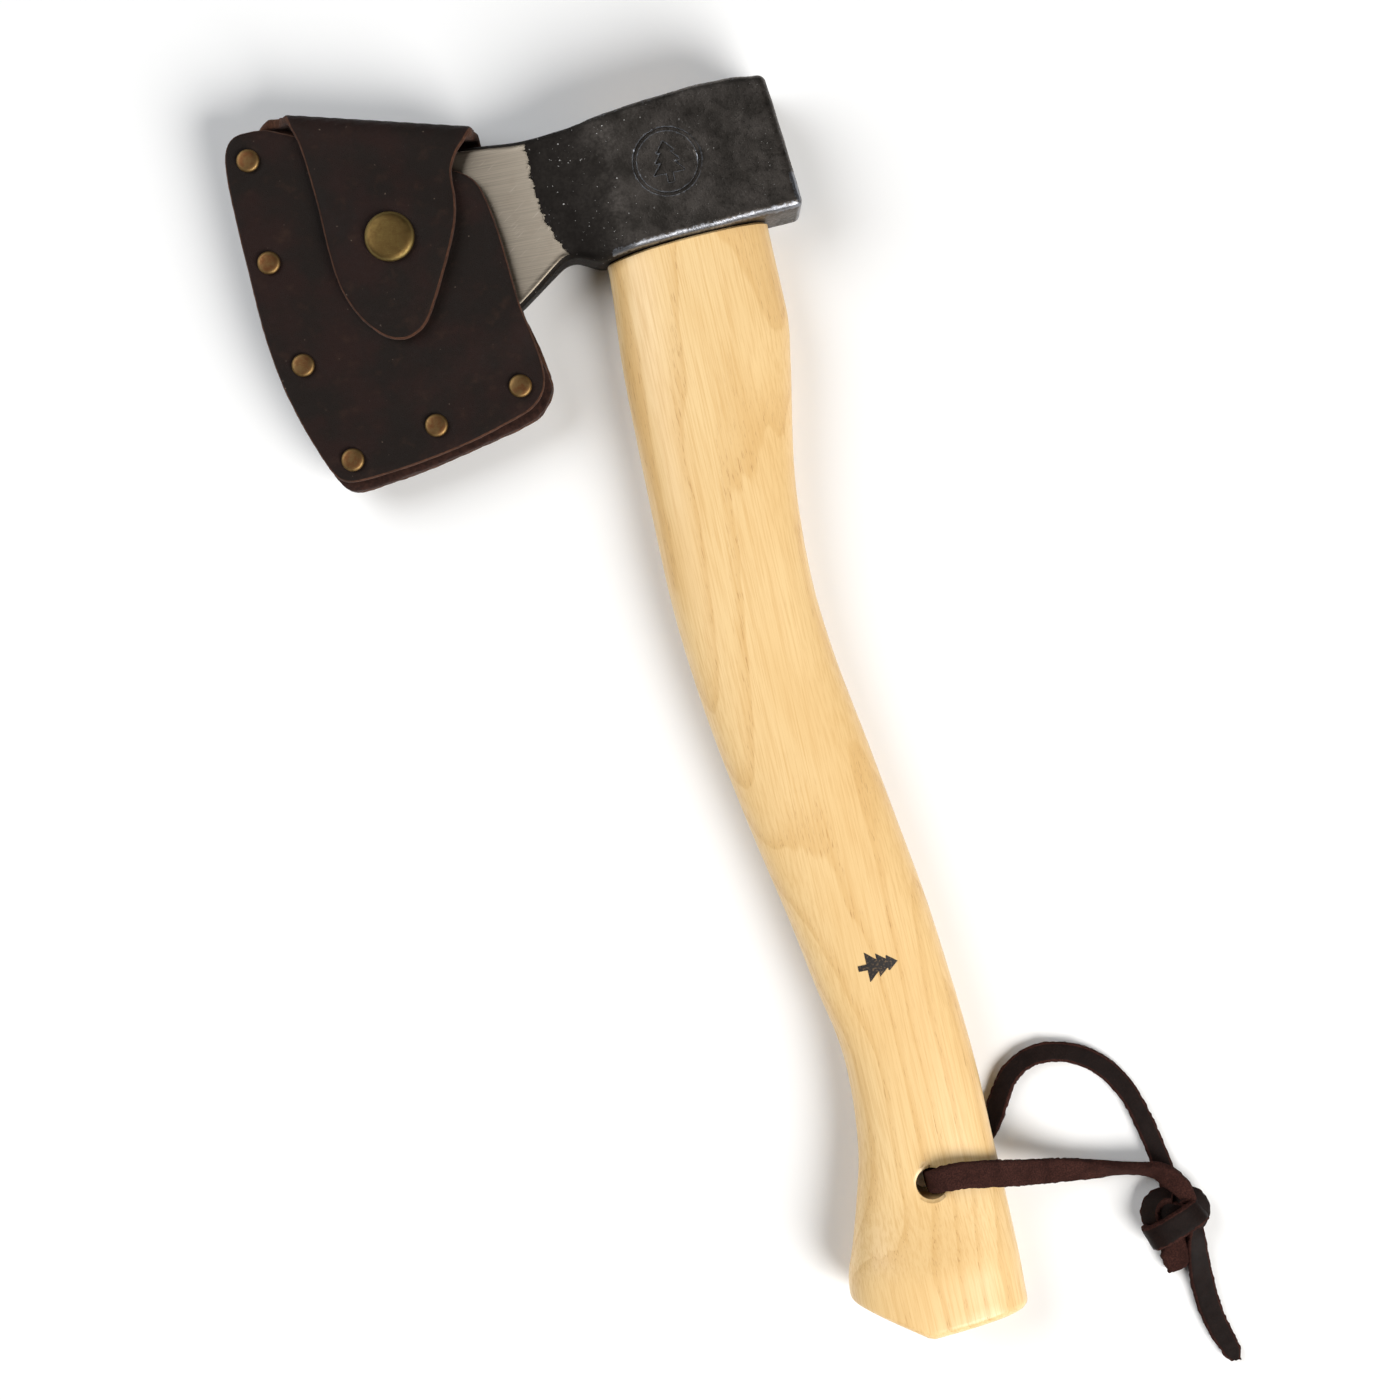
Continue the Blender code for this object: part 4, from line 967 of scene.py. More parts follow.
def build_head():
    head = add_mesh("forged_head", *ring_mesh(head_rings(), 0), [HEAD_STEEL], smooth_angle=HEAD_SHARP_ANGLE)
    eye = oval(EYE_X, EYE_HALF_LENGTH, EYE_HALF_WIDTH, EYE_ROUNDNESS, 64)
    eye_rings = [[at(x, y, z) for x, z in eye] for y in EYE_CUTTER_ENDS_Y]
    cutter = add_mesh("eye_cutter", *ring_mesh(eye_rings, 0), [])
    tree_outline, rim_outline, inner_outline = MARK_OUTLINES
    depth_z = MID_Z + CHEEK_HALF - MARK_DEPTH
    tree = prism("mark_tree", tree_outline, depth_z, depth_z + 5)
    outer = prism("mark_rim", rim_outline, depth_z, depth_z + 5)
    inner = prism("mark_middle", inner_outline, depth_z - 5, depth_z + 10)
    cut_with(outer, inner)
    cut_with(head, cutter, tree, outer)
    head.data.shade_smooth()
    head.data.set_sharp_from_angle(angle=math.radians(HEAD_SHARP_ANGLE))
    set_wear(head, head_wear_and_highlight)
    set_wear(head, head_ground, "ground")
    push_vertices(head, head_dent)
    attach(head, "hatchet")
    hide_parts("head")


build_head()


# ---------------------------------------------------------------- handle and wedges

HANDLE_LEFT = [(-323.0, -22.6), (-315.0, -22.0), (-306.0, -18.8), (-294.0, -14.9), (-281.0, -11.3),
               (-268.0, -9.4), (-254.0, -8.7), (-242.0, -9.6), (-228.0, -12.3), (-206.0, -15.8),
               (-182.0, -20.3), (-156.0, -24.6), (-136.0, -27.2), (-116.0, -28.9), (-96.0, -29.5),
               (-54.0, -28.9), (-33.0, -28.3), (0.0, -25.9)]
HANDLE_RIGHT = [(-334.8, 29.3), (-315.0, 29.9), (-284.0, 29.8), (-258.0, 29.6), (-232.0, 28.1),
                (-208.0, 25.9), (-183.0, 22.6), (-158.0, 19.2), (-134.0, 15.6), (-120.0, 14.2),
                (-107.0, 13.6), (-92.0, 14.0), (-73.0, 15.8), (-41.0, 21.9), (-26.0, 24.0), (0.0, 23.9)]
HANDLE_HALF = [(-334.0, 14.0), (-320.0, 14.0), (-308.0, 12.4), (-297.0, 11.0), (-285.0, 10.8),
               (-250.0, 11.1), (-200.0, 11.4), (-120.0, 11.2), (-80.0, 11.6), (0.0, 11.9)]
HANDLE_ROUNDNESS = 2.3
HANDLE_SHOULDER_Y = -1.7
SHOULDER_EASE = 12.0
HANDLE_CELL = 2.4
HANDLE_POINTS = 88
KNOB_START_Y = -300.0
KNOB_LEFT_END_Y = -323.0
KNOB_RIGHT_END_Y = -334.8
KNOB_RIDGE = (-1.8, -336.2)
KNOB_ARRIS = 3.0
KNOB_ROWS = 12
ARRIS_STEPS = 6
TONGUE_CHAMFER = 0.5
SHOULDER_CHAMFER = 0.6
CUT_PAST = 5                 # how far the kerf's and the groove's cutters reach past the wood
LACE_HOLE_R = 4.6
LACE_HOLE_MOUTH_R = 5.6
LACE_HOLE_CONE = 1.8
INK_MIDDLE = (6.9, -223.8)
INK_HEIGHT = 12.0
INK_CELL = 0.9
INK_RISE = 0.055             # the film's top, above the smooth handle
INK_SINK = 0.15              # the film's underside, inside the wood


def under_head(x, y):
    """Raises a height near the shoulder, so that the shoulder follows the head's sloping foot."""
    rise = soft_foot(x) - GAP - HANDLE_SHOULDER_Y
    return y + rise * ease(1 - (HANDLE_SHOULDER_Y - y) / SHOULDER_EASE)


def handle_ring(y, inset=0.0):
    left, right = read_curve(HANDLE_LEFT, y) + inset, read_curve(HANDLE_RIGHT, y) - inset
    half = read_curve(HANDLE_HALF, y) - inset
    section = oval((left + right) / 2, (right - left) / 2, half, HANDLE_ROUNDNESS, HANDLE_POINTS)
    return [at(x, under_head(x, y), z) for x, z in section]


def knob_ring(t, push=0.0, inset=0.0, shrink=1.0):
    """A ring of the knob, whose end is a shallow roof: t runs from its start to its end."""
    left_y = lerp(KNOB_START_Y, KNOB_LEFT_END_Y + KNOB_ARRIS, t)
    right_y = lerp(KNOB_START_Y, KNOB_RIGHT_END_Y + KNOB_ARRIS, t)
    ridge_y = lerp(KNOB_START_Y, KNOB_RIDGE[1] + KNOB_ARRIS, t)
    left = read_curve(HANDLE_LEFT, left_y) + inset
    right = read_curve(HANDLE_RIGHT, right_y) - inset
    half = read_curve(HANDLE_HALF, ridge_y) - inset
    roof = [(left, left_y), (KNOB_RIDGE[0], ridge_y), (right, right_y)]
    half_length = (right - left) / 2 * shrink
    section = oval((left + right) / 2, half_length, half * shrink, HANDLE_ROUNDNESS, HANDLE_POINTS)
    return [at(x, read_curve(roof, x, smooth=False) - push, z) for x, z in section]


def handle_surface_z(x, y):
    """The height of the handle's upper side at a drawn point."""
    left, right = read_curve(HANDLE_LEFT, y), read_curve(HANDLE_RIGHT, y)
    u = abs(x - (left + right) / 2) / ((right - left) / 2)
    height = (1 - min(u, 1.0) ** HANDLE_ROUNDNESS) ** (1 / HANDLE_ROUNDNESS)
    return MID_Z + read_curve(HANDLE_HALF, y) * height


def kerf_half(y):
    return lerp(KERF_FOOT_HALF, KERF_TOP_HALF, (y - KERF_FOOT_Y) / (TONGUE_TOP_Y - KERF_FOOT_Y))


def tongue_ring(y, inset=0.0):
    """A ring of the tongue, which fills the eye but for a little play."""
    length, width = EYE_HALF_LENGTH - GAP - inset, EYE_HALF_WIDTH - GAP - inset
    return [at(x, y, z) for x, z in oval(EYE_X, length, width, EYE_ROUNDNESS, HANDLE_POINTS)]


def handle_rings():
    """The handle's rings, from the top of its tongue to near the middle of its knob's end."""
    shaved_y = TONGUE_TOP_Y - TONGUE_CHAMFER
    rings = [tongue_ring(TONGUE_TOP_Y, TONGUE_CHAMFER), tongue_ring(shaved_y)]
    rings += [tongue_ring(lerp(shaved_y, HANDLE_SHOULDER_Y, k / 8)) for k in range(1, 8)]
    inner_edge = [(v.x / MM, v.z / MM) for v in tongue_ring(0.0)]
    rings.append([at(x, under_head(x, HANDLE_SHOULDER_Y), z) for x, z in inner_edge])
    grip_y = HANDLE_SHOULDER_Y - SHOULDER_CHAMFER
    rings += [handle_ring(HANDLE_SHOULDER_Y, SHOULDER_CHAMFER), handle_ring(grip_y)]
    count = round((grip_y - KNOB_START_Y) / HANDLE_CELL)
    rings += [handle_ring(lerp(grip_y, KNOB_START_Y, k / count)) for k in range(1, count)]
    rings += [knob_ring(k / KNOB_ROWS) for k in range(KNOB_ROWS + 1)]
    for k in range(1, ARRIS_STEPS + 1):
        turn = math.pi / 2 * k / ARRIS_STEPS
        rings.append(knob_ring(1.0, KNOB_ARRIS * math.sin(turn), KNOB_ARRIS * (1 - math.cos(turn))))
    return rings + [knob_ring(1.0, KNOB_ARRIS, KNOB_ARRIS, 1 - k / 10) for k in range(1, 10)]


def handle_cutters():
    """The kerf for the wooden wedge, the groove for the ring wedge, and the lanyard's hole."""
    kerf = []
    reach = EYE_HALF_LENGTH + CUT_PAST
    for y in (KERF_FOOT_Y, TONGUE_TOP_Y + CUT_PAST):
        half = kerf_half(y)
        corners = [(reach, half), (-reach, half), (-reach, -half), (reach, -half)]
        kerf.append([at(EYE_X + x, y, MID_Z + z) for x, z in corners])
    kerf_cutter = add_mesh("kerf_cutter", *ring_mesh(kerf, 3), [])
    inner, outer, groove_end = RING_INNER - GAP, RING_OUTER + GAP, RING_DEPTH + CUT_PAST
    groove_profile = [(inner, 0.0), (outer, 0.0), (outer, groove_end), (inner, groove_end)]
    groove = turned_mesh("groove_cutter", groove_profile, HANDLE_WOOD,
                         at(EYE_X, TONGUE_TOP_Y - RING_DEPTH - GAP, MID_Z), axis="Y")
    half, mouth = read_curve(HANDLE_HALF, LACE_HOLE[1]), LACE_HOLE_MOUTH_R
    cone = half - LACE_HOLE_CONE
    upper = [(LACE_HOLE_R, cone), (mouth - 0.9, half - 0.5), (mouth, half), (mouth + 2, half + 2),
             (0, half + 2)]
    hole_profile = [(r, -h) for r, h in upper[::-1]] + upper
    hole = turned_mesh("hole_cutter", hole_profile, HANDLE_WOOD, at(*LACE_HOLE, MID_Z))
    return kerf_cutter, groove, hole


def build_handle():
    handle = add_mesh("curved_handle", *ring_mesh(handle_rings(), 0), [HANDLE_WOOD])
    cut_with(handle, *handle_cutters())
    handle.data.shade_smooth()
    handle.data.set_sharp_from_angle(angle=math.radians(35.0))
    push_vertices(handle, lambda p: 0.10 * rough(p, 26.0, 4.0) - 0.06 if p.y < HANDLE_SHOULDER_Y - 1 else 0.0)
    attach(handle, "hatchet")
    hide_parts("handle")

    for node, material in (("wooden_wedge", WEDGE_WOOD), ("ring_wedge", NICKEL)):
        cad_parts[node].data.materials.clear()
        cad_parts[node].data.materials.append(material)


def ink_decal(name, outline):
    """A thin film of ink over a drawn outline, laid on the handle."""
    points = even_points([Vector(p) for p in outline], INK_CELL, True)
    verts, faces = sheet_grid(points, [], INK_CELL)
    top = [at(x, y, handle_surface_z(x, y) + INK_RISE) for x, y in verts]
    low = [at(x, y, handle_surface_z(x, y) - INK_SINK) for x, y in verts]
    count = len(points)
    size = len(verts)
    faces = [tuple(f) for f in faces] + [tuple(size + i for i in f[::-1]) for f in faces]
    faces += [(i, size + i, size + (i + 1) % count, (i + 1) % count) for i in range(count)]
    n = Nodes(name + "_ink", Roughness=0.42, Coat_Weight=0.4, Coat_Roughness=0.2)
    blot = n.noise(0.7, 4.0, 0.6)
    n.set(Base_Color=n.mix(n.range(blot, 0.5, 0.72), linear(38, 34, 33), linear(112, 90, 66)))
    decal = add_mesh(name, top + low, faces, [n.material])
    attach(decal, "hatchet")


# ---------------------------------------------------------------- leather sheets

SHEET_CELL = 1.7             # between points inside a sheet
SHEET_EDGE_CELL = 1.15       # between points along its edge
EDGE_STEPS = 3               # rows round each rounded edge
SEAM_R = 0.04                # how far the square edge that meets another sheet is rounded
HOLE_R = 0.25                # how far a hole's rim is rounded


def sheet_grid(outline, holes, cell):
    """Triangles that fill an outline round its holes. The loops' points come first, in order."""
    loops = [outline] + holes
    verts = [Vector(p[:2]) for loop in loops for p in loop]
    edges, start = [], 0
    for loop in loops:
        edges += [(start + i, start + (i + 1) % len(loop)) for i in range(len(loop))]
        start += len(loop)
    xs, ys = [p[0] for p in outline], [p[1] for p in outline]
    grid = []
    rows = int((max(ys) - min(ys)) / (cell * 0.866)) + 2
    for j in range(rows):
        shift = cell / 2 if j % 2 else 0.0
        for i in range(int((max(xs) - min(xs)) / cell) + 2):
            grid.append((min(xs) + i * cell + shift, min(ys) + j * cell * 0.866))
    keep = inside_outline(grid, outline)
    for loop in loops:
        keep &= distance_to(grid, loop) > cell * 0.62
    for hole in holes:
        keep &= ~inside_outline(grid, hole)
    verts += [Vector(p) for p, kept in zip(grid, keep) if kept]
    found, _, triangles, origins, _, _ = delaunay_2d_cdt(verts, edges, [], 0, 1e-5)
    crossing = [tuple(v) for v, origin in zip(found, origins) if not origin]
    if crossing:
        raise ValueError(f"the outline crosses itself near {crossing[:3]}")
    source = [origin[0] for origin in origins]
    triangles = [[source[i] for i in t] for t in triangles]
    middles = [sum((verts[i] for i in t), Vector((0.0, 0.0))) / 3 for t in triangles]
    keep = inside_outline([tuple(m) for m in middles], outline)
    for hole in holes:
        keep &= ~inside_outline([tuple(m) for m in middles], hole)
    return verts, [t for t, kept in zip(triangles, keep) if kept]


def outward_normals(loop):
    """Unit normals of a closed anticlockwise loop, pointing out of it."""
    normals = []
    for i, point in enumerate(loop):
        along = (loop[(i + 1) % len(loop)] - loop[i - 1]).normalized()
        normals.append(Vector((along.y, -along.x)))
    return normals


def rounded_loop(loop, sharp):
    """A closed loop with its corners eased, except where sharp(point) holds."""
    for _ in range(2):
        loop = [p if sharp(p) else (loop[i - 1] + 2 * p + loop[(i + 1) % len(loop)]) / 4
                for i, p in enumerate(loop)]
    return loop


def anticlockwise(loop):
    area = sum(a.x * b.y - b.x * a.y for a, b in zip(loop, loop[1:] + loop[:1]))
    return loop if area > 0 else loop[::-1]


def leather_sheet(name, outline, holes, place, thickness, round_r=0.8, ragged=0.12, seed=1.0,
                  sharp=lambda point: False):
    """A sheet of leather with rounded, raw edges.

    place(x, y, t) bends the flat sheet into shape, where t is the height from its flesh side.
    sharp(point) picks the stretch of the edge that meets another sheet, and stays square.
    """
    outline = anticlockwise([Vector(p[:2]) for p in outline])
    outer = rounded_loop(even_points(outline, SHEET_EDGE_CELL, True), sharp)
    loops = [outer] + [anticlockwise([Vector(p) for p in hole]) for hole in holes]
    signs = [1] + [-1] * len(holes)
    normals = [[n * s for n in outward_normals(loop)] for loop, s in zip(loops, signs)]
    radii = [[SEAM_R if sharp(p) else round_r for p in outer]] + [[HOLE_R] * len(hole) for hole in holes]
    inner = [[p - n * r for p, n, r in zip(loop, ns, rs)] for loop, ns, rs in zip(loops, normals, radii)]
    verts, triangles = sheet_grid(inner[0], inner[1:], SHEET_CELL)
    size = len(verts)
    points = [place(v.x, v.y, thickness) for v in verts] + [place(v.x, v.y, 0.0) for v in verts]
    faces = [tuple(t) for t in triangles] + [tuple(size + i for i in t[::-1]) for t in triangles]
    slots = [0] * len(triangles) + [2] * len(triangles)
    start = 0
    for number, (loop, ns, rs) in enumerate(zip(loops, normals, radii)):
        levels = edge_levels(3 if number == 0 else 1)
        count = len(loop)
        before = [start + i for i in range(count)]
        for level, (reach, whole, share) in enumerate(levels):
            row = []
            for p, n, r in zip(inner[number], ns, rs):
                t = thickness * whole + r * share
                torn = number == 0 and level > 0 and r > 0.1
                wave = ragged * rough((p.x, p.y, t * 1.5), 2.2, seed) if torn else 0.0
                spot = p + n * (r * reach + wave)
                row.append(len(points))
                points.append(place(spot.x, spot.y, t))
            for i in range(count):
                j = (i + 1) % count
                faces.append((before[i], before[j], row[j], row[i]))
                slots.append(0 if level == 0 else 1)
            before = row
        for i in range(count):
            j = (i + 1) % count
            faces.append((before[i], before[j], size + start + j, size + start + i))
            slots.append(1)
        start += count
    return add_mesh(name, points, faces, [LEATHER_GRAIN, LEATHER_EDGE, LEATHER_FLESH], slots, 60.0)


def edge_levels(walls):
    """Rows round a sheet's edge, from its outer face to its flesh side.

    Each row is (reach, whole, share). It lies reach radii out, at the height
    thickness * whole + radius * share.
    """
    turns = [math.pi / 2 * k / EDGE_STEPS for k in range(1, EDGE_STEPS + 1)]
    rows = [(math.sin(turn), 1.0, math.cos(turn) - 1) for turn in turns]
    rows += [(1.0, 1 - k / walls, 2 * k / walls - 1) for k in range(1, walls + 1)]
    return rows + [(math.cos(turn), 0.0, 1 - math.sin(turn)) for turn in turns[:-1]]


# ---------------------------------------------------------------- sheath

LEATHER = 3.0
WELT_HALF = 1.7
FLAT_HALF = WELT_HALF + GAP
BLADE_CLEARANCE = 0.5
SHEATH_SIDE = [(-117.0, 60.2), (-122.0, 60.6), (-126.6, 60.2), (-129.8, 57.0), (-131.3, 50.0), (-131.6, 35.0),
               (-131.3, 17.9), (-130.8, 0.9), (-129.2, -13.6), (-126.4, -26.0), (-122.8, -37.5)]
SHEATH_FOOT = [(-119.2, -46.6), (-116.4, -50.6), (-111.2, -51.5), (-93.5, -49.5), (-78.8, -46.9),
               (-58.6, -42.4), (-53.0, -38.7), (-49.9, -34.2)]
FRONT_FOOT = [(-119.6, -45.2), (-116.6, -48.2), (-110.9, -48.9), (-95.0, -47.6), (-78.1, -44.9),
              (-61.1, -40.4), (-56.0, -38.0), (-52.9, -34.8), (-51.5, -30.4)]
FRONT_REST = [(-51.5, -24.5), (-52.6, -16.2), (-54.0, -7.5), (-55.3, 14.0), (-57.6, 28.0), (-61.0, 33.2),
              (-66.0, 36.2)]
BACK_REST = [(-50.3, -26.5), (-52.2, -16.2), (-54.0, -7.5), (-55.3, 14.0), (-56.6, 32.0)]
WELT_INNER = [(-51.0, -25.5), (-70.0, -30.0), (-90.0, -34.6), (-109.8, -38.6), (-113.6, -32.0),
              (-118.2, -14.0), (-120.5, 5.0), (-120.9, 25.0), (-120.8, 45.0), (-120.8, 56.4)]
WELT_TOP = [(-123.0, 57.2), (-127.4, 57.3), (-129.9, 55.4)]     # clear of the ear that turns with the fold
WELT_FOOT_SLOPE = 0.22
FOLD_LEFT = (-112.4, 63.5)
FOLD_RIGHT = (-56.1, 47.1)
FOLD_BACK_HALF = 5.0
FOLD_FRONT_HALF = 7.2
FOLD_EASE = 12.0
FOLD_START_X = -120.0
FOLD_START_EASE = 8.0
FOLD_INNER_R = 1.3
STRAIGHT_PART = 4.8                # the flat leather between a bend's end and the seam
FOLD_TUCK = 1.5                    # how far inside the fold line the tongue's drawn edge begins
TONGUE_EDGE = [(-62.0, 40.4), (-65.0, 35.0), (-65.6, 26.8), (-67.4, 18.9), (-72.6, 8.1), (-79.6, -4.1),
               (-83.2, -8.6), (-88.0, -10.9), (-92.4, -10.4), (-96.4, -7.9), (-101.5, -1.4), (-105.0, 7.7),
               (-106.2, 19.6), (-106.4, 32.8), (-107.2, 46.9), (-107.8, 53.6)]
TONGUE_STEP = 2.6                  # how far the tongue's left edge starts in from the strap's
TONGUE_SLACK = 0.5
SNAP_LIFT = 2.4
SNAP_FLAT_R = 8.0
SNAP_EASE = 9.0
SNAP_HOLE_R = 2.0
TONGUE_HOLE_R = 2.6
RIVET_HOLE_R = 1.8
SNAP_SEAT_DEPTH = 1.1              # how far the leather's flesh side is pared back for the post's flange
SNAP_SEAT_R = 8.5
SNAP_SEAT_EASE = 2.2
SNAP_CAP_HEIGHT = 2.45
RIVET_COUNT = 6
RIVET_HEAD_R = 3.5
RIVET_HEAD_HEIGHT = 1.5

SNAP = drawn(box_middle("snap_cap")).xy
RIVETS = [drawn(box_middle(f"rivet_cap_{k}")).xy for k in range(1, RIVET_COUNT + 1)]
ALONG_FOLD = (Vector(FOLD_LEFT) - Vector(FOLD_RIGHT)).normalized()
OUT_OF_FOLD = Vector((ALONG_FOLD.y, -ALONG_FOLD.x))
SEAM_Z = MID_Z + (FOLD_FRONT_HALF - FOLD_BACK_HALF) / 2


def inside_fold(x, y):
    """How far a point lies inside the leather's inner fold line."""
    return -(Vector((x, y)) - Vector(FOLD_RIGHT)).dot(OUT_OF_FOLD) - LEATHER


def pocket_half(x, y):
    open_half = max(FLAT_HALF, read_curve(HEAD_HALF, x) + BLADE_CLEARANCE)
    welt_y = WELT_INNER[0][1] + WELT_FOOT_SLOPE * (x - WELT_INNER[0][0])
    blade_y = read_curve(HEAD_FOOT, x, smooth=False)
    return lerp(FLAT_HALF, open_half, ease((y - welt_y) / (blade_y - welt_y)))


def front_half(x, y):
    away = (Vector((x, y)) - SNAP).length
    return lerp(pocket_half(*SNAP), pocket_half(x, y), ease((away - SNAP_FLAT_R) / SNAP_EASE))


def back_half(x, y):
    near = ease(1 - inside_fold(x, y) / FOLD_EASE) * ease((x - FOLD_START_X) / FOLD_START_EASE)
    return lerp(pocket_half(x, y), FOLD_BACK_HALF, near)


def tongue_half(x, y):
    away = (Vector((x, y)) - SNAP).length
    lift = lerp(TONGUE_SLACK, SNAP_LIFT, ease(1 - (away - SNAP_FLAT_R) / (2 * SNAP_EASE)))
    near = ease(1 - inside_fold(x, y) / FOLD_EASE)
    return lerp(front_half(x, y) + LEATHER + lift, FOLD_FRONT_HALF, near)


def pressed(x, y, t):
    """How far the leather's outer face is pressed in round the rivets, and its slight waves."""
    nearest = min((Vector((x, y)) - r).length for r in RIVETS)
    dimple = 0.38 * ease(1 - (nearest - RIVET_HEAD_R + 0.4) / 2.6)
    wave = 0.22 * rough((x, y, 0.0), 17.0, 6.0) + 0.08 * rough((x, y, 0.0), 6.0, 8.0)
    return (t / LEATHER) * (dimple - 0.10 - wave * ease((nearest - RIVET_HEAD_R) / 8.0) * 0.8)


def front_place(x, y, t):
    away = (Vector((x, y)) - SNAP).length
    seat = SNAP_SEAT_DEPTH * ease((SNAP_SEAT_R - away) / SNAP_SEAT_EASE) * (1 - t / LEATHER)
    return at(x, y, MID_Z + front_half(x, y) + t + seat - pressed(x, y, t))


def folded_place(x, y, t, side, half, press):
    """Places a point of leather that lies flat, then turns a right angle at the fold line.

    side is 1 for the tongue's leather and -1 for the back panel's.
    """
    depth = inside_fold(x, y)
    if depth >= FOLD_INNER_R:
        return at(x, y, MID_Z + side * (half(x, y) + t - press))
    foot = Vector((x, y)) - OUT_OF_FOLD * (FOLD_INNER_R - depth)
    start = side * half(foot.x, foot.y)
    radius, reach = FOLD_INNER_R + t, FOLD_INNER_R - depth
    quarter = math.pi / 2 * (FOLD_INNER_R + LEATHER / 2)
    angle = min(reach / quarter, 1.0) * math.pi / 2
    out = radius * math.sin(angle) - FOLD_INNER_R
    height = start + side * (radius * math.cos(angle) - FOLD_INNER_R)
    if reach > quarter:
        straight = abs(SEAM_Z - MID_Z - start) - FOLD_INNER_R
        height = start - side * FOLD_INNER_R - side * straight * min((reach - quarter) / STRAIGHT_PART, 1.0)
    line = foot + OUT_OF_FOLD * FOLD_INNER_R
    spot = line + OUT_OF_FOLD * out
    return at(spot.x, spot.y, MID_Z + height)


def fold_strap_reach():
    """The flat length of leather from the inner fold line to the seam at the fold's middle."""
    return math.pi / 2 * (FOLD_INNER_R + LEATHER / 2) + STRAIGHT_PART - FOLD_INNER_R


def strap_corner(point):
    """The end of the strap's side edge, on the flat pattern, past a point of the fold line."""
    return Vector(point) + OUT_OF_FOLD * (fold_strap_reach() - LEATHER)


def at_seam(point):
    """Whether a point of the flat pattern lies on the edge where the strap's two halves meet."""
    return (point - Vector(FOLD_RIGHT)).dot(OUT_OF_FOLD) > fold_strap_reach() - LEATHER - 0.3


def front_sheet(holes):
    outline = curve_through(SHEATH_SIDE + FRONT_FOOT + FRONT_REST, 6)
    holes = holes + [circle(SNAP, SNAP_HOLE_R, 24)]
    return leather_sheet("sheath_front", outline, holes, front_place, LEATHER, seed=1.0)


def back_sheet(holes):
    """The back panel, which turns at the fold line and runs to the seam in the fold's middle."""
    def place(x, y, t):
        return folded_place(x, y, t, -1, back_half, pressed(x, y, t))

    outline = curve_through(SHEATH_SIDE[1:] + SHEATH_FOOT + BACK_REST, 6)
    outline += [strap_corner(FOLD_RIGHT), strap_corner(FOLD_LEFT)]
    return leather_sheet("sheath_back_and_fold", outline, holes, place, LEATHER, ragged=0.25, seed=2.0,
                         sharp=at_seam)


def welt_sheet(holes):
    def place(x, y, t):
        return at(x, y, MID_Z - WELT_HALF + t)

    outline = curve_through(WELT_TOP + SHEATH_SIDE[4:] + SHEATH_FOOT, 6) + curve_through(WELT_INNER, 4)
    welt = leather_sheet("sheath_welt_strip", outline, holes, place, 2 * WELT_HALF, round_r=0.6, ragged=0.25,
                         seed=3.0)
    welt.data.materials.clear()
    for material in (WELT_FACE_SHADED, WELT_EDGE, LEATHER_FLESH):
        welt.data.materials.append(material)
    return welt


def tongue_sheet():
    """The tongue, which turns at the fold line the other way and runs to the same seam."""
    def place(x, y, t):
        return folded_place(x, y, t, 1, tongue_half, tongue_press(x, y, t))

    right, left = Vector(FOLD_RIGHT) - OUT_OF_FOLD * FOLD_TUCK, Vector(FOLD_LEFT) - OUT_OF_FOLD * FOLD_TUCK
    outline = [strap_corner(FOLD_LEFT), strap_corner(FOLD_RIGHT), right]
    outline += curve_through(TONGUE_EDGE, 6) + [left - ALONG_FOLD * TONGUE_STEP]
    return leather_sheet("flap_tongue_and_fold", outline, [circle(SNAP, TONGUE_HOLE_R, 24)], place, LEATHER,
                         round_r=1.1, seed=4.0, sharp=at_seam)


def build_sheath():
    holes = [circle(r, RIVET_HOLE_R, 20) for r in RIVETS]
    front, back, welt, tongue = front_sheet(holes), back_sheet(holes), welt_sheet(holes), tongue_sheet()
    for piece, node, slot in ((front, "sheath_front_panel", "sheath_leather"),
                              (welt, "sheath_welt", "welt_leather")):
        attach(piece, "hatchet")
        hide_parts(node)
    middle = (Vector(FOLD_LEFT) + Vector(FOLD_RIGHT)) / 2 - OUT_OF_FOLD * LEATHER
    before, after = middle - OUT_OF_FOLD * FOLD_INNER_R, middle
    at(*before, MID_Z - FOLD_BACK_HALF)
    at(*after, MID_Z - FOLD_BACK_HALF + FOLD_INNER_R)
    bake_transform(back)
    at(*after, MID_Z + FOLD_FRONT_HALF - FOLD_INNER_R)
    at(*before, MID_Z + FOLD_FRONT_HALF)
    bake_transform(tongue)
    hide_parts("sheath_back_panel")
    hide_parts("flap", "flap_fold")


def tongue_press(x, y, t):
    """The tongue's outer face dips under the snap's rim, and waves a little elsewhere."""
    away = (Vector((x, y)) - SNAP).length
    dimple = 0.3 * ease(1 - (away - 7.2) / 2.8)
    wave = 0.20 * rough((x, y, 3.0), 15.0, 12.0) * ease((away - 8.0) / 8.0)
    return (t / LEATHER) * (dimple - 0.08 - wave)


# ---------------------------------------------------------------- snap and rivets

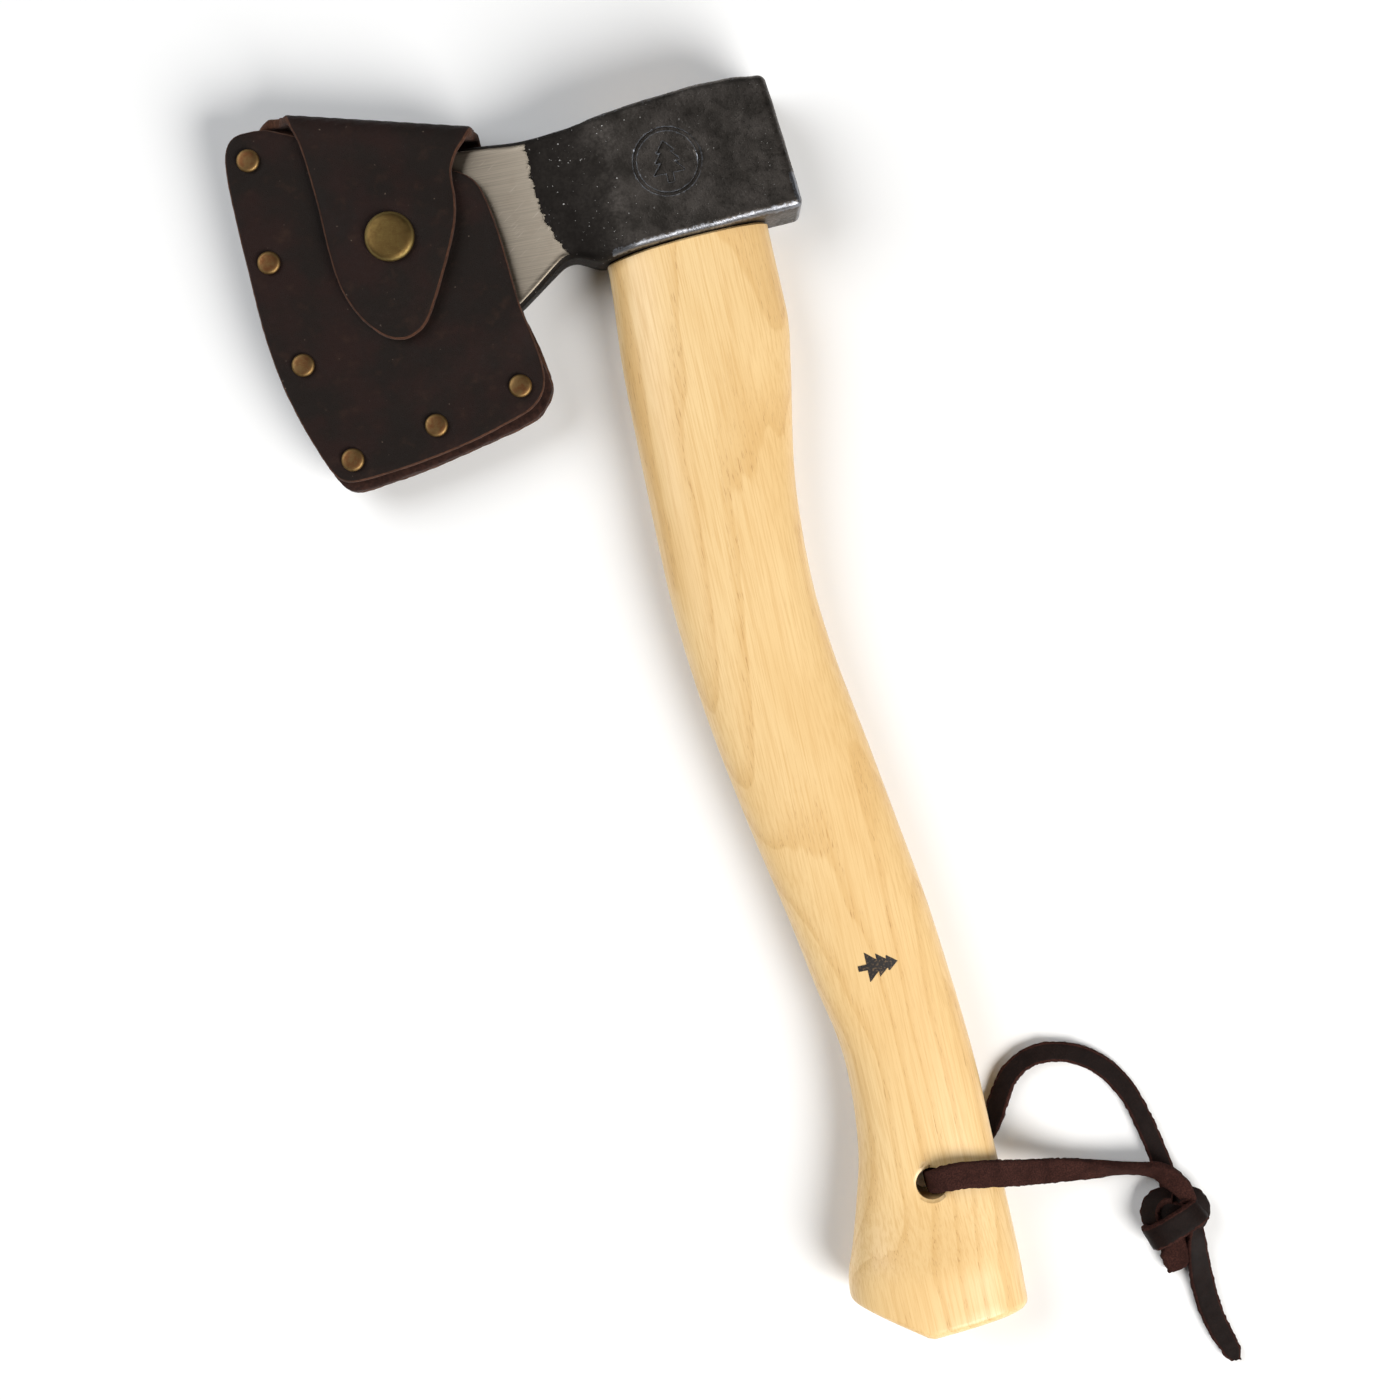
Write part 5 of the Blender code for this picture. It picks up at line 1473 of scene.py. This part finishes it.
def build_rivets():
    """Each rivet has a flat domed cap with a rolled rim, on its post, and a base behind."""
    face = FLAT_HALF + LEATHER
    r, dome = RIVET_HEAD_R, RIVET_HEAD_HEIGHT
    rolled = [(r - 0.35, face), (r - 0.08, face + 0.12), (r, face + 0.42), (r - 0.08, face + 0.78),
              (r - 0.38, face + 1.12), (r - 0.8, face + 1.32), (r * 0.45, face + 1.46), (0, face + dome)]
    tip = -face - 0.5
    cap_profile = [(0, tip), (1.5, tip), (1.5, face)] + rolled
    base_profile = [(r0, -h) for r0, h in rolled[::-1]] + [(1.8, -face), (1.8, tip - GAP), (0, tip - GAP)]
    for k, spot in enumerate(RIVETS, start=1):
        place = at(spot.x, spot.y, MID_Z)
        cap = turned_mesh(f"rivet_{k}_cap", cap_profile, RIVET_BRASS, place, wear_rim=r - 0.4)
        base = turned_mesh(f"rivet_{k}_base", base_profile, RIVET_BRASS, place, wear_rim=r - 0.4)
        for piece, node in ((cap, f"rivet_cap_{k}"), (base, f"rivet_base_{k}")):
            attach(piece, "hatchet")
            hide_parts(node)


def build_snap():
    low, high = (drawn(corner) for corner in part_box("snap_cap"))
    r = (high.x - low.x) / 2
    rim = high.z - SNAP_CAP_HEIGHT
    profile = [(0, low.z), (2.2, low.z), (2.2, rim), (r - 0.5, rim), (r - 0.12, rim + 0.15), (r, rim + 0.5),
               (r - 0.1, rim + 0.9), (r - 0.4, rim + 1.35), (r - 0.95, rim + 1.86), (r - 1.9, rim + 2.16),
               (4.0, rim + 2.30), (2.0, rim + 2.37), (0, rim + 2.4)]
    cap = turned_mesh("snap_cap_dome", profile, CAP_BRASS, at(SNAP.x, SNAP.y), sides=96, wear_rim=r - 0.5)
    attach(cap, "flap")
    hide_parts("snap_cap")
    face = MID_Z + front_half(*SNAP) + LEATHER
    stud_profile = [(0, 1.7), (1.7, 1.7), (1.7, GAP), (5.2, GAP), (5.45, 0.42), (5.5, 0.6), (5.35, 0.82),
                    (5.0, 0.9), (2.9, 0.9), (2.4, 1.02), (2.12, 1.25), (2.05, 1.55), (2.22, 1.85),
                    (2.26, 2.1), (2.1, 2.38), (1.7, 2.55), (0.9, 2.62), (0, 2.64)]
    stud = turned_mesh("snap_stud_ball", stud_profile, NICKEL, at(SNAP.x, SNAP.y, face))
    flap_face = face + SNAP_LIFT
    socket_profile = [(2.62, -0.95), (2.8, -1.15), (3.2, -1.24), (4.5, -1.24), (5.1, -1.14), (5.42, -0.86),
                      (5.5, -0.6), (5.42, -0.4), (5.2, -GAP), (3.0, -GAP), (2.75, -0.42)]
    socket = turned_mesh("snap_socket_ring", socket_profile, NICKEL, at(SNAP.x, SNAP.y, flap_face))
    for piece, body, node in ((stud, "hatchet", "snap_stud"), (socket, "flap", "snap_socket")):
        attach(piece, body)
        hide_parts(node)
    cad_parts["snap_post"].data.materials.clear()
    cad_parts["snap_post"].data.materials.append(NICKEL)


build_handle()
ink_decal("handle_ink_tree", [(INK_MIDDLE[0] + y, INK_MIDDLE[1] - x)
                              for x, y in pine_outline((0.0, 0.0), INK_HEIGHT)])
build_sheath()
build_rivets()
build_snap()
